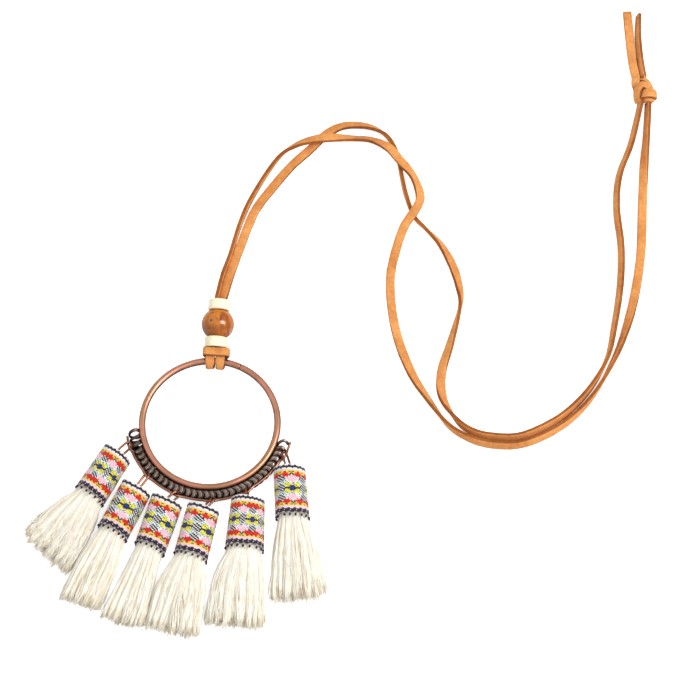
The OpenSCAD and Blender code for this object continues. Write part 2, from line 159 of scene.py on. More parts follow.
# One piece of the necklace, from points in millimetres
def makePiece(name, points, faces, slots, materials, recordSlot, node, smooth=True):
    mesh = bpy.data.meshes.new(name)
    mesh.from_pydata([(p[0] * 0.001, p[1] * 0.001, p[2] * 0.001) for p in points], [], faces)
    for m in materials:
        mesh.materials.append(m)
    mesh.polygons.foreach_set("material_index", slots)
    mesh.polygons.foreach_set("use_smooth", [smooth] * len(faces))
    work = bmesh.new()
    work.from_mesh(mesh)
    bmesh.ops.recalc_face_normals(work, faces=work.faces)
    work.to_mesh(mesh)
    work.free()
    piece = bpy.data.objects.new(name, mesh)
    scene.collection.objects.link(piece)
    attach(piece, "root")
    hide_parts(node)
    return piece


# A shader node: an input given as a socket is linked, any other value is set
def addNode(tree, kind, inputs=None, **settings):
    node = tree.nodes.new("ShaderNode" + kind)
    for key, value in settings.items():
        setattr(node, key, value)
    for key, value in (inputs or {}).items():
        if isinstance(value, bpy.types.NodeSocket):
            tree.links.new(value, node.inputs[key])
        else:
            node.inputs[key].default_value = value
    return node


def noiseOf(tree, scale, detail, rough=0.55):
    place = addNode(tree, "TexCoord").outputs["Object"]
    grain = addNode(tree, "TexNoise", {"Vector": place, "Scale": scale, "Detail": detail, "Roughness": rough})
    return grain.outputs["Fac"]


def mathOf(tree, operation, a, b, clamp=False):
    return addNode(tree, "Math", {0: a, 1: b}, operation=operation, use_clamp=clamp).outputs[0]


def blendColours(tree, mask, low, high):
    return addNode(tree, "Mix", {0: mask, 6: low, 7: high}, data_type="RGBA").outputs[2]


def spread(tree, source, low, high, toLow=0.0, toHigh=1.0):
    return addNode(tree, "MapRange", {"Value": source, "From Min": low, "From Max": high, "To Min": toLow,
                                      "To Max": toHigh}).outputs["Result"]


# Shader effects that several materials share: a group takes colours and numbers, by name
def newGroup(name, inputs, outputs):
    group = bpy.data.node_groups.new(name, "ShaderNodeTree")
    for label, value in inputs.items():
        kind = "NodeSocketColor" if isinstance(value, tuple) else "NodeSocketFloat"
        group.interface.new_socket(name=label, in_out="INPUT", socket_type=kind).default_value = value
    for label in outputs:
        kind = "NodeSocketColor" if label == "Color" else "NodeSocketFloat"
        group.interface.new_socket(name=label, in_out="OUTPUT", socket_type=kind)
    return group, group.nodes.new("NodeGroupInput").outputs


def putOut(group, sources):
    last = group.nodes.new("NodeGroupOutput")
    for label, source in sources.items():
        group.links.new(source, last.inputs[label])
    return group


# Patina, dark in blotches, with painted light: brighter on what faces up, and painted shade on the flanks
def patinaAndLightGroup():
    group, given = newGroup("patinaAndLight", {
        "Rubbed And Lit Color": (0.5, 0.25, 0.15, 1), "Tint Color": (0.4, 0.25, 0.1, 1),
        "Dark Color": (0.08, 0.04, 0.03, 1), "Blotches": 0.5, "Polish": 0.3},
        ("Color", "Roughness", "Height"))
    facing = addNode(group, "NewGeometry").outputs["Normal"]
    # Painted light and shade: the mask is high where a surface faces up and low on the flanks
    paintedTopLight = spread(group, addNode(group, "SeparateXYZ", {0: facing}).outputs["Z"], 0.15, 0.8)
    centred = mathOf(group, "SUBTRACT", noiseOf(group, 420, 5, 0.6), 0.5)
    wearAndTopLight = mathOf(group, "ADD", paintedTopLight, mathOf(group, "MULTIPLY", centred, given["Blotches"]), True)
    drift = spread(group, noiseOf(group, 75, 2), 0.42, 0.6)
    tinted = blendColours(group, drift, given["Rubbed And Lit Color"], given["Tint Color"])
    rough = addNode(group, "Mix", {0: wearAndTopLight, 2: 0.62, 3: given["Polish"]}, data_type="FLOAT")
    return putOut(group, {"Color": blendColours(group, wearAndTopLight, given["Dark Color"], tinted),
                          "Roughness": rough.outputs[0], "Height": noiseOf(group, 2600, 4, 0.7)})


# Fibre: the uneven tone and fuzz of thread and yarn
def fibreGroup():
    group, given = newGroup("fibre", {
        "Color": (0.8, 0.8, 0.8, 1), "Shade Color": (0.5, 0.5, 0.5, 1), "Patch Scale": 400.0,
        "Fuzz Scale": 5000.0}, ("Color", "Height"))
    tone = spread(group, noiseOf(group, given["Patch Scale"], 4, 0.65), 0.36, 0.62)
    return putOut(group, {"Color": blendColours(group, tone, given["Shade Color"], given["Color"]),
                          "Height": noiseOf(group, given["Fuzz Scale"], 2)})


# Nap: suede's tone, mottled at three scales, and short raised fibres
def napGroup():
    group, given = newGroup("nap", {
        "Color": (0.7, 0.35, 0.12, 1), "Shade Color": (0.5, 0.2, 0.06, 1), "Mottle": 0.6},
        ("Color", "Height"))
    grains = ((70, 2, 0.5, 0.4), (340, 7, 0.74, 0.45), (1500, 4, 0.7, 0.4))
    layers = [spread(group, noiseOf(group, scale, detail, rough), 0.62, 0.4, 0, share)
              for scale, detail, rough, share in grains]
    total = mathOf(group, "ADD", mathOf(group, "ADD", layers[0], layers[1]), layers[2])
    tone = mathOf(group, "MULTIPLY", total, given["Mottle"], True)
    return putOut(group, {"Color": blendColours(group, tone, given["Color"], given["Shade Color"]),
                          "Height": noiseOf(group, 3200, 4, 0.75)})


groups = {"patinaAndLight": patinaAndLightGroup(), "fibre": fibreGroup(), "nap": napGroup()}


def newMaterial(name, shaderValues):
    material = bpy.data.materials.new(name)
    material.use_nodes = True
    shader = material.node_tree.nodes["Principled BSDF"]
    for key, value in shaderValues.items():
        shader.inputs[key].default_value = value
    return material, material.node_tree, shader


# Relief: strength, and depth in millimetres
def addBump(tree, shader, height, bump):
    raised = addNode(tree, "Bump", {"Strength": bump[0], "Distance": bump[1] * 0.001, "Height": height})
    tree.links.new(raised.outputs["Normal"], shader.inputs["Normal"])


# A material: the group's values, the shader's own values, and the relief
def groupMaterial(name, effect, values, shaderValues, bump):
    material, tree, shader = newMaterial(name, shaderValues)
    node = addNode(tree, "Group", node_tree=groups[effect])
    for key, value in values.items():
        node.inputs[key].default_value = colour(value) if isinstance(value, str) else value
    tree.links.new(node.outputs["Color"], shader.inputs["Base Color"])
    if "Roughness" in node.outputs:
        tree.links.new(node.outputs["Roughness"], shader.inputs["Roughness"])
    addBump(tree, shader, node.outputs["Height"], bump)
    return material


# Metals: colour on top, rubbed and with painted light, tinted colour, dark colour of blotches and of the
# painted shade on the flanks, blotches, polish
metalShader = {"Metallic": 1.0}
metals = {
    "hoopCopper": ("#cb8d76", "#b48466", "#3a1d15", 0.8, 0.38),
    "coilOxide": ("#9b938b", "#8b8078", "#1c1614", 1.0, 0.3),
    # The coil's bright edge tone is a painted highlight on one ridge of each turn
    "coilEdgeHighlight": ("#cdbfb4", "#b3a094", "#3a2620", 0.9, 0.22),
    # The coil's groove tone is painted shade in the grooves between the ridges and on the turns' underside
    "coilGrooveShade": ("#5f5650", "#544a43", "#17110f", 0.8, 0.45),
    "coilRim": ("#6f5145", "#5e4338", "#1e110f", 1.0, 0.45),
    # The coil's deep tone is painted shade by the hoop, on the core and the solder, and also the hoop's dark
    # joint
    "coilShadeAndJoint": ("#2a1f1b", "#211a17", "#0d0908", 0.4, 0.6),
    "wireCopper": ("#b07c66", "#966450", "#30180f", 1.0, 0.28),
    "ringCopper": ("#a86c50", "#8a5740", "#351a10", 0.9, 0.24)}
metalOf = {name: groupMaterial(name, "patinaAndLight", {
    "Rubbed And Lit Color": m[0], "Tint Color": m[1], "Dark Color": m[2], "Blotches": m[3], "Polish": m[4]},
    metalShader, (0.25, 0.05)) for name, m in metals.items()}

# Yarn, from the brightest strands to the deepest, the deeper tones painted shade: colour and its shade
clothShader = {"Roughness": 0.9, "Sheen Weight": 0.45, "Sheen Roughness": 0.6, "Specular IOR Level": 0.1}
yarnTones = {"yarnLight": ("#fffbf1", "#faf4e5"), "yarnCream": ("#fcf6e8", "#f3e9d5"),
             "yarnShade": ("#f1e5cd", "#dfcfae")}
yarns = [groupMaterial(name, "fibre", {
    "Color": t[0], "Shade Color": t[1], "Patch Scale": 260.0, "Fuzz Scale": 6000.0}, clothShader, (0.3, 0.04))
    for name, t in yarnTones.items()]

# Suede, face and edge, the edge darker as painted shade on the lace's narrow sides: colour, its shade, mottle
suedeShader = {"Roughness": 0.9, "Sheen Weight": 0.12, "Sheen Roughness": 0.45, "Specular IOR Level": 0.15}
suedeTones = {"suedeFace": ("#e9a662", "#b96f36", 0.75), "suedeEdge": ("#ad662f", "#7d451d", 0.8)}
suede = [groupMaterial(name, "nap", {"Color": t[0], "Shade Color": t[1], "Mottle": t[2]},
                       suedeShader, (0.55, 0.12)) for name, t in suedeTones.items()]

# Polished wood: figure stretched along the bore, pores, painted shade on the left side, one small knot, a
# clear coat
wood = {"shader": {"Roughness": 0.4, "Specular IOR Level": 0.1, "Coat Weight": 0.26, "Coat IOR": 2.5,
                   "Coat Roughness": 0.05},
        "stretch": {"Rotation": (0.3, 0.2, 0.1), "Scale": (1.0, 0.32, 1.0)},
        "figure": {"Scale": 210.0, "Detail": 6.0, "Roughness": 0.6, "Distortion": 1.4},
        "stops": [(0.3, "#6b3000"), (0.45, "#a85600"), (0.58, "#cc7806"), (0.74, "#854200")],
        "pores": {"Scale": 2400.0, "Detail": 3.0, "Roughness": 0.6}, "poreFrom": (0.62, 0.7),
        "poreCode": "#4a2206", "relief": (0.08, 0.05),
        # The first spot is painted shade on the bead's left side, the second the small knot
        "spots": [{"at": (-2.6, 33.0, 8.2), "reach": 8.0, "core": 1.0, "code": "#82420c"},
                  {"at": (0.1, 37.4, 11.5), "reach": 0.75, "core": 0.25, "code": "#4a2206"}]}


def woodMaterial():
    material, tree, shader = newMaterial("polishedWood", wood["shader"])
    place = addNode(tree, "TexCoord").outputs["Object"]
    grain = addNode(tree, "Mapping", {"Vector": place, **wood["stretch"]}).outputs["Vector"]
    figure = addNode(tree, "TexNoise", {"Vector": grain, **wood["figure"]})
    ramp = addNode(tree, "ValToRGB", {"Fac": figure.outputs["Fac"]})
    while len(ramp.color_ramp.elements) < len(wood["stops"]):
        ramp.color_ramp.elements.new(0.5)
    for element, (at, code) in zip(ramp.color_ramp.elements, wood["stops"]):
        element.position = at
        element.color = colour(code)
    pores = addNode(tree, "TexNoise", {"Vector": grain, **wood["pores"]}).outputs["Fac"]
    tone = blendColours(tree, spread(tree, pores, *wood["poreFrom"]), ramp.outputs["Color"],
                        colour(wood["poreCode"]))
    for spot in wood["spots"]:
        centre = [v * 0.001 for v in spot["at"]]
        away = addNode(tree, "VectorMath", {0: place, 1: centre}, operation="DISTANCE").outputs["Value"]
        mask = spread(tree, away, spot["reach"] * 0.001, spot["core"] * 0.001)
        tone = blendColours(tree, mask, tone, colour(spot["code"]))
    tree.links.new(tone, shader.inputs["Base Color"])
    addBump(tree, shader, pores, wood["relief"])
    return material


woodPolish = woodMaterial()
discCream = groupMaterial("discCream", "fibre", {
    "Color": "#f3ebd0", "Shade Color": "#ebe1bf", "Patch Scale": 300.0, "Fuzz Scale": 1500.0},
    {"Roughness": 0.35, "Coat Weight": 0.3, "Coat Roughness": 0.2}, (0.08, 0.05))
print("materials made")

# Beads, hitch and coil stand where the hoop's sizes put them
hoop = {"r": 24.75, "wire": 2.5, "z": 2.96, "hitchAngle": 86.5, "joint": 64.0, "steps": 160, "sides": 16,
        "cuts": (-0.75, -0.32, 0.0, 0.32, 0.75), "dips": ((0.1, 0.8), (0.4, 0.97)), "stain": (0.11, 0.35),
        "sway": 0.05, "swell": 0.006, "trim": 0.99}
stack = {"reach": 13.5, "beadD": 12.0, "beadLen": 10.2, "discLen": 4.0, "topD": 8.2, "lowD": 8.8,
         "bore": 5.0, "gap": 0.1, "sink": 0.05}
halfStack = stack["beadLen"] / 2 + stack["discLen"]
drop = (stack["beadD"] / 2 - stack["sink"]) / math.hypot(halfStack, stack["lowD"] / 2)
stackTilt = math.degrees(math.asin(drop) - math.atan2(stack["lowD"] / 2, halfStack))
stackDir = Vector((0, *cosSin(stackTilt)))
hitchFrame = turnAbout("Z", hoop["hitchAngle"] - 90) @ Matrix.Translation((0, hoop["r"], 0))
boreSide = (stack["bore"] - 2 * stack["gap"]) / 4


def stackPoint(offset, x):
    return Vector((x, stack["reach"], stack["beadD"] / 2)) + stackDir * offset


# Suede lace: the route's rows are x, y, lift over lying on the surface, turn about its own line
lace = {"width": 3.4, "thick": 1.5, "steps": 5, "ragged": 0.03, "clear": 0.05}
laceSection = [(1, 0.45), (0.97, 0.78), (0.86, 0.96), (0.45, 1), (0, 1.02), (-0.45, 1), (-0.86, 0.96),
               (-0.97, 0.78), (-1, 0.45), (-1, -0.45), (-0.97, -0.78), (-0.86, -0.96), (-0.45, -1), (0, -1),
               (0.45, -1), (0.86, -0.96), (0.97, -0.78), (1, -0.45)]
# Sides on the lace's narrow edges, which take the darker edge tone as painted shade
laceEdges = {0, 7, 8, 9, 16, 17}
strandLeft = [
    [3.8, 57, 6.3, 90], [6.4, 66, 4.6, 90], [10, 81.5, 1.4, 90], [14.5, 93.5, 0, 90], [23.5, 109, 0.2, 80],
    [30.5, 114, 2, 50], [37.5, 116, 3.6, 20], [44.5, 117.5, 2.4, 10], [52, 118, 0.4, 40],
    [59.5, 117, 1, 40], [66, 112.5, 3.9, 10], [70.5, 107, 3.9, 0], [75.5, 100.5, 2.4, 38],
    [78, 92, 2.6, 18], [76, 86, 4, 0], [72, 80, 2.8, 0], [69, 72, 0.6, 0], [66.5, 60, 0, 0],
    [67, 46, 0, 0], [69.5, 33, 0, 8], [74, 20.5, 0, 25], [79, 11.5, 0, 50],
    [86.5, 0.5, 0, 84], [93, -4.5, 0, 100], [101, -7.5, 0, 110], [112, -8, 0, 112],
    [122, -4.5, 0, 112], [132, 2, 0, 108], [141, 12, 0, 94], [149, 26, 0, 70],
    [154, 38.5, 0, 46], [158, 53, 0, 14], [161, 70, 0, 0], [162.5, 90, 0, 0],
    [164, 108, 0, 38], [165.2, 118, 0, 58], [166.7, 133.4, 0, 66]]
strandRight = [
    [6.5, 57, 7, 10], [10.5, 71.5, 4.2, 0], [13, 80.5, 1.8, 0], [16, 88.5, 0.4, 0], [22, 97.5, 0, 0],
    [29, 106.5, 0, 10], [36, 113.5, 0, 10], [42, 120, 0, 10], [48, 123.5, 0, 20], [54.5, 124, 0, 30],
    [60.5, 122.5, 0, 50], [66, 118.5, 0, 80], [69.5, 111, 0, 90], [71, 102.5, 0, 90],
    [72.5, 94.5, 0, 90], [75.5, 85, 0, 80], [80, 79.5, 0, 72], [85.5, 73, 0, 52],
    [90, 64, 0, 28], [92.3, 54.5, 0, 50], [92.3, 47, 0, 90], [88.5, 32.5, 0, 132],
    [85, 20.5, 0, 168], [85.5, 10, 0, 220], [91, 1, 0, 272], [96.5, -3, 0, 286],
    [103, -4.7, 0, 292], [112.5, -4.8, 0, 292], [122, -1, 0, 292], [131.2, 5.1, 0, 290],
    [139.8, 14.6, 0, 280], [146.5, 26.7, 0, 260], [149.5, 39, 0, 248], [152.5, 56, 0, 244],
    [153.5, 72, 0, 244], [152.5, 88, 0, 245], [154.1, 102, 0, 244], [159.3, 116, 0, 244],
    [163.7, 133.4, 0, 250]]
tailLeft = [[162.6, 144.6, 0, 22], [161.5, 152, 0, 12], [160.9, 163, 0, 0], [160.5, 174.5, 0, 0]]
tailRight = [[165.2, 144.6, 0, 58], [164.5, 152, 0, 66], [164.1, 163, 0, 68], [164.8, 172.6, 0, 76]]


# How high the middle of a lace is over the surface, turned about its line
def lying(turn):
    c, s = cosSin(turn)
    wide, high = lace["width"] / 2 * s, lace["thick"] / 2 * c
    return lace["clear"] + max(abs(q[0] * wide) + abs(q[1] * high) for q in laceSection)


def sectionRing(p, across, up, width, thick):
    rag = 1 + dice.uniform(-1, 1) * lace["ragged"]
    return [p + across * (q[0] * width / 2 * rag) + up * (q[1] * thick / 2) for q in laceSection]


def laceMesh(points, frames, widths):
    rings = [sectionRing(p, *f, *w) for p, f, w in zip(points, frames, widths)]
    verts = [q for ring in rings for q in ring]
    return verts, *skinFaces(len(rings), len(laceSection), 0, lambda k, i: 1 if i in laceEdges else 0, 1)


def turnedFrame(d, turn):
    side = d.cross(upAxis).normalized()
    up = side.cross(d)
    c, s = cosSin(turn)
    return side * c + up * s, up * c - side * s


def freeLace(name, rows, node, length, start=None, startTurn=0):
    full = [[r[0], r[1], r[2] + lying(r[3]), r[3]] for r in rows]
    if start is not None:
        full = [[*start, startTurn]] + full
    line = smoothRows(full, lace["steps"])
    points = [Vector((r[0], r[1], max(r[2], lying(r[3])))) for r in line]
    frames = [turnedFrame(along(points, k), line[k][3]) for k in range(len(line))]
    mesh = laceMesh(points, frames, [(lace["width"], lace["thick"])] * len(points))
    piece = makePiece(name, *mesh, suede, "suede_lace", node)
    measured = sum((b - a).length for a, b in zip(points, points[1:]))
    print(name, "runs", round(measured, 1), "mm, declared", length * 1000)
    return piece, [p * 0.001 for p in points]


exitLeft = hitchFrame @ stackPoint(halfStack + 2 * stack["gap"], -boreSide)
exitRight = hitchFrame @ stackPoint(halfStack + 2 * stack["gap"], boreSide)
leftPiece, leftPath = freeLace("laceLeft", strandLeft, "strand_left", 0.42, exitLeft, 90)
rightPiece, rightPath = freeLace("laceRight", strandRight, "strand_right", 0.415, exitRight, 35)
tailLeftPiece, tailLeftPath = freeLace("laceTailLeft", tailLeft, "tail_left", 0.03)
tailRightPiece, tailRightPath = freeLace("laceTailRight", tailRight, "tail_right", 0.03)

# Overhand knot of both laces: each band's rows are x, y, z, and the way that its flat face looks
knot = {"at": (165, 139, 0), "bands": [
    {"width": 2.4, "thick": 1.3, "rows": [
        [-0.5, 4.9, 1.9, 0, 0.2, 1], [0.5, 4.0, 2.9, 0.2, 0.3, 0.9], [1.7, 2.4, 3.5, 0.5, 0.3, 0.8],
        [2.7, 0.2, 3.7, 0.8, 0.2, 0.6], [3.3, -1.8, 3.0, 0.9, 0, 0.4], [3.0, -3.4, 1.9, 0.8, -0.2, -0.3],
        [1.0, -4.0, 0.9, 0, 0, -1]]},
    {"width": 3.1, "thick": 1.4, "rows": [
        [-1.9, -5.3, 1.5, -0.7, -0.2, 0.6], [-2.6, -3.4, 3.0, -0.7, -0.2, 0.7],
        [-2.4, -1.3, 4.5, -0.5, 0.1, 0.85], [-0.9, 0.4, 5.2, -0.1, 0.3, 0.95],
        [0.9, 0, 5.1, 0.3, 0.2, 0.95], [2.2, -1.6, 4.2, 0.6, 0, 0.8]]},
    {"width": 3.4, "thick": 1.5, "rows": [
        [-0.6, -2.6, 2.4, -0.8, 0, 0.5], [-0.1, -3.0, 4.4, -0.5, 0, 0.85], [1.3, -3.2, 5.6, -0.1, -0.1, 1],
        [2.8, -3.2, 5.5, 0.4, -0.1, 0.9], [4.0, -3.0, 4.2, 0.9, 0, 0.5], [4.3, -2.7, 2.6, 1, 0, -0.1],
        [3.2, -2.4, 1.1, 0.4, 0, -0.9], [0.8, -2.3, 0.9, 0, 0, -1]]},
    {"width": 2.2, "thick": 1.3, "rows": [
        [-0.2, -4.3, 2.0, -0.4, -0.5, 0.5], [0.9, -4.9, 3.0, -0.1, -0.6, 0.8],
        [2.5, -4.9, 2.9, 0.3, -0.6, 0.7], [3.6, -4.1, 2.0, 0.8, -0.4, 0.2],
        [3.0, -3.1, 1.0, 0.3, 0, -0.9]]},
    {"width": 3.2, "thick": 1.4, "rows": [
        [1.7, -5.6, 1.8, 1, 0, 0.3], [1.4, -4.3, 2.0, 1, 0, 0.3], [0.8, -1.6, 2.3, 0.8, 0, 0.5],
        [0.5, 1.6, 2.3, 0.7, 0, 0.7], [0.6, 4.0, 2.1, 0.8, 0, 0.5], [0.7, 5.6, 1.9, 0.9, 0, 0.4]]},
    {"width": 3.2, "thick": 1.4, "rows": [
        [-1.3, -5.6, 1.8, -1, 0, 0.3], [-1.3, -4.2, 1.9, -0.9, 0, 0.4], [-1.6, -1.4, 2.2, -0.4, 0, 0.9],
        [-2.6, 1.2, 2.2, -0.25, 0, 1], [-2.8, 3.2, 2.0, -0.2, 0, 1], [-2.5, 5.7, 1.6, -0.3, 0, 0.95]]}]}


def makeKnot():
    parts = []
    for band in knot["bands"]:
        line = smoothRows(band["rows"], lace["steps"])
        points = [Vector(knot["at"]) + Vector(r[:3]) for r in line]
        frames = []
        for k, r in enumerate(line):
            d = along(points, k)
            up = Vector(r[3:])
            up = (up - d * up.dot(d)).normalized()
            frames.append((d.cross(up).normalized(), up))
        parts.append(laceMesh(points, frames, [(band["width"], band["thick"])] * len(points)))
    return makePiece("laceKnot", *joinMeshes(parts), suede, "suede_lace", "tie_knot")


knotPiece = makeKnot()
print("laces and knot made")

# Lark's head: half of it, mirrored. Rows are point, way across the lace, width, thickness
hitchLook = {"round": 0.42, "reach": 28, "bulge": 0.3, "leftEnd": 0.9, "squeeze": 0.9, "spread": 0.7,
             "wrap": (75, 284, 13), "steps": 4}
wrapR = hoop["wire"] / 2 + 1.6 * stack["gap"] + lace["thick"] / 2


def hitchRows():
    g, w, t, part = stack["gap"], lace["width"], lace["thick"], hitchLook["spread"]
    lift = upAxis * hoop["z"]
    boreT = w * t / (2 * boreSide) * hitchLook["squeeze"]
    side = (w + 3 * g) / 2
    x, z, wide = w + 3 * g + t / 2, wrapR + t + 2 * g, w * hitchLook["squeeze"]
    rows = [[*(stackPoint(sign * (halfStack + g), boreSide) - lift), 1, 0, 0, 2 * boreSide - g, boreT]
            for sign in (1, -1)]
    exitZ = (stackPoint(-halfStack - g, 0) - lift).z
    rows.append([mix(boreSide, side, part), 2.7, mix(exitZ, wrapR, part), 1, 0, 0,
                 mix(2 * boreSide, w, part), t * 1.05])
    for angle in range(*hitchLook["wrap"]):
        c, s = cosSin(angle)
        under = math.exp(-((angle - 180) / hitchLook["reach"]) ** 2)
        r = wrapR + hitchLook["bulge"] * under
        rows.append([side, r * c - side * side / 2 / hoop["r"], r * s, 1, -side / hoop["r"], 0,
                     w * (1 - hitchLook["round"] * under), t])
    bight = [[side + 0.7, 1.9, -wrapR + 0.55, 0.85, 0.5, 0.3, w * 0.95, t],
             [x - 0.7, 2.75, -0.9, 0.35, 0.9, 0.2, wide, t], [x, 2.95, 0.6, 0, 1, 0, wide, t],
             [x, 2.75, z - 1.5, 0, 1, 0, wide, t], [x - 0.45, 2.35, z - 0.35, 0, 1, 0, wide, t],
             [x - 1.6, 2.15, z, 0, 1, 0, wide, t]]
    rows += bight
    other = [[-r[0] * (hitchLook["leftEnd"] if k > len(rows) - len(bight) else 1), r[1], r[2], -r[3], *r[4:]]
             for k, r in enumerate(rows)]
    return rows + other[::-1]


def makeHitch():
    line = smoothRows(hitchRows(), hitchLook["steps"])
    points = [Vector(r[:3]) for r in line]
    frames = []
    for k, r in enumerate(line):
        d = along(points, k)
        w = Vector(r[3:6])
        across = (w - d * w.dot(d)).normalized()
        frames.append((across, across.cross(d)))
    verts, faces, slots = laceMesh(points, frames, [(r[6], r[7]) for r in line])
    place = hitchFrame @ Matrix.Translation((0, 0, hoop["z"]))
    makePiece("laceHitch", [place @ v for v in verts], faces, slots, suede, "suede_lace", "hitch")


makeHitch()


# Turned beads: a closed profile of radius and height, spun about the line through the bores
beadShape = {"rim": 0.12, "face": 3.05, "mouth": 0.25, "dip": 0.02, "inside": 0.3, "cuts": 25}
discShape = {"crown": 0.12, "edge": 0.6, "mouth": 0.3, "inside": 0.45, "cuts": 7}


def turnedBead(name, profile, offset, material, recordSlot, node, sides=72):
    place = hitchFrame @ Matrix.Translation(stackPoint(offset, 0)) @ turnAbout("X", stackTilt - 90)
    verts = []
    for k in range(sides):
        verts += [place @ polar(r, 360 * k / sides, z) for r, z in profile]
    faces, slots = skinFaces(sides, len(profile), loop=True)
    makePiece(name, verts, faces, slots, [material], recordSlot, node)


def arc(x, z, r, fromAngle, toAngle, count):
    spokes = [cosSin(mix(fromAngle, toAngle, k / (count - 1))) for k in range(count)]
    return [(x + r * c, z + r * s) for c, s in spokes]


# An end's points, and the other end's like them
def bothEnds(end):
    return end + [(r, -z) for r, z in reversed(end)]


def beadProfile(s):
    r, half, bore = stack["beadD"] / 2, stack["beadLen"] / 2, stack["bore"] / 2
    rim = math.degrees(math.asin((half - s["rim"]) / r))
    return arc(0, 0, r, -rim, rim, s["cuts"]) + bothEnds([
        (s["face"], half), (bore + s["mouth"], half - s["dip"]), (bore, half - s["inside"])])


def discProfile(s, d):
    half, bore, r, edge = stack["discLen"] / 2, stack["bore"] / 2, d / 2, s["edge"]
    low = arc(r - edge, -half + edge, edge, -90, -8, s["cuts"])
    high = arc(r - edge, half - edge, edge, 8, 90, s["cuts"])
    end = [(bore + s["mouth"], half - s["crown"]), (bore, half - s["inside"])]
    return low + [(r, 0)] + high + bothEnds(end)


discOffset = (stack["beadLen"] + stack["discLen"] + stack["gap"]) / 2
discTop, discLow = (discProfile(discShape, stack[key]) for key in ("topD", "lowD"))
turnedBead("beadWood", beadProfile(beadShape), 0, woodPolish, "wood_bead", "bead")
turnedBead("beadDiscTop", discTop, discOffset, discCream, "cream_disc", "disc_top")
turnedBead("beadDiscLow", discLow, -discOffset, discCream, "cream_disc", "disc_bottom")
print("beads and hitch made")


# Hoop with its butt joint. The third draw isn't used, and keeps the later ones in step
def makeHoop():
    phases = [dice.uniform(0, 6.28) for _ in range(3)]
    angles = [360 * k / hoop["steps"] for k in range(hoop["steps"])]
    angles = sorted(angles + [hoop["joint"] + d for d in hoop["cuts"]])
    points = [polar(hoop["r"] + hoop["sway"] * math.sin(math.radians(3 * a) + phases[0]), a, hoop["z"])
              for a in angles]

    def pinch(k):
        near = abs(angles[k] - hoop["joint"])
        dip = next((share for reach, share in hoop["dips"] if near < reach), 1.0)
        return dip + hoop["swell"] * math.sin(math.radians(7 * angles[k]) + phases[1])
    verts, faces, slots = wireMesh(points, hoop["wire"] / 2 * hoop["trim"], hoop["sides"], True, pinch)
    ahead, reach = hoop["stain"]
    slots = [1 if abs(angles[n // hoop["sides"]] + ahead - hoop["joint"]) < reach else 0
             for n in range(len(slots))]
    makePiece("hoopWire", verts, faces, slots, [metalOf["hoopCopper"], metalOf["coilShadeAndJoint"]],
              "copper_hoop", "hoop")


# Coil of flattened wire with fine ridges, soldered to the hoop. Turns are widest at the hoop and bow along
# it. In pairs: the bow at either end, the turns that stand open there, the last turns and their pull, the
# pinch and the ripple of the width, sizes and paces of the jogs, and the arc of a turn painted in shade
coil = {"from": 186, "to": 345, "turns": 33.6, "steps": 30, "r": 27.807, "d": 4.4, "wireW": 2.0, "wireT": 0.8,
        "ridges": 4, "ridgeDepth": 0.2, "crown": 1.2, "bow": 1.2, "endBow": (-0.5, 1.0), "open": (3.2, 3.6),
        "openWide": 0.5, "slack": (2.6, 0.05), "pinch": (0.12, 0.3), "ripple": (0.05, 7.7),
        "jogs": ((0.14, 2.3), (0.1, 5.1)), "scale": 0.5, "dark": (150, 185), "bare": 0.7,
        "core": {"r": 1.3, "in": (9, 15), "step": 2, "taper": 0.2, "sides": 12},
        "solder": {"r": 0.6, "sides": 8, "every": 4, "first": 0.5, "bite": 0.5,
                   "shares": (1.1, 0.9, 0.8, 0.85, 0.7)}}


def coilSection():
    top = []
    for n in range(2 * coil["ridges"] + 1):
        x = n / (2 * coil["ridges"]) - 0.5
        high = 0.5 if n % 2 else 0.5 - coil["ridgeDepth"] / coil["wireT"]
        top.append((x, high * (1 - coil["crown"] * x * x)))
    return top + [(0.5, -0.3), (0.3, -0.5), (-0.3, -0.5), (-0.5, -0.3)]


# The turns at both ends stand open, in narrower wire: 0 at the ends, 1 along the rest
def fullness(turn):
    near = min(turn / coil["open"][0], (coil["turns"] - turn) / coil["open"][1], 1)
    return near * near * (3 - 2 * near)


# Where a turn stands along the hoop: the last turns stand further apart
def turnAngle(turn):
    run, pull = coil["slack"]
    far = coil["turns"] + pull * run * run
    return mix(coil["from"], coil["to"], (turn + pull * max(0, turn - coil["turns"] + run) ** 2) / far)


# Finish of a side: 0 oxide, 1 edge with a painted highlight, 2 painted shade by the hoop, 3 rim, 4 groove and
# underside in painted shade
def coilSlot(ring, side):
    turn = ring / coil["steps"]
    around = (180 - turn * 360) % 360
    darkFrom, darkTo = coil["dark"]
    last = 2 * coil["ridges"]
    if fullness(turn) < coil["bare"]:
        return 0 if side == coil["ridges"] else 3
    # The arc by the hoop is painted shade; the grooves and the underside take the groove's painted shade
    if darkFrom < around <= darkTo:
        return 2
    if side in (last - 2, last - 1):
        return 3
    if side % 2 or around > darkTo:
        return 4
    return 1 if side == last - 4 else 0


# A thin wire in the deep tone, which is painted shade
def shadeWire(points, s, share):
    return inSlot(wireMesh(points, s["r"], s["sides"], False, share), 2)


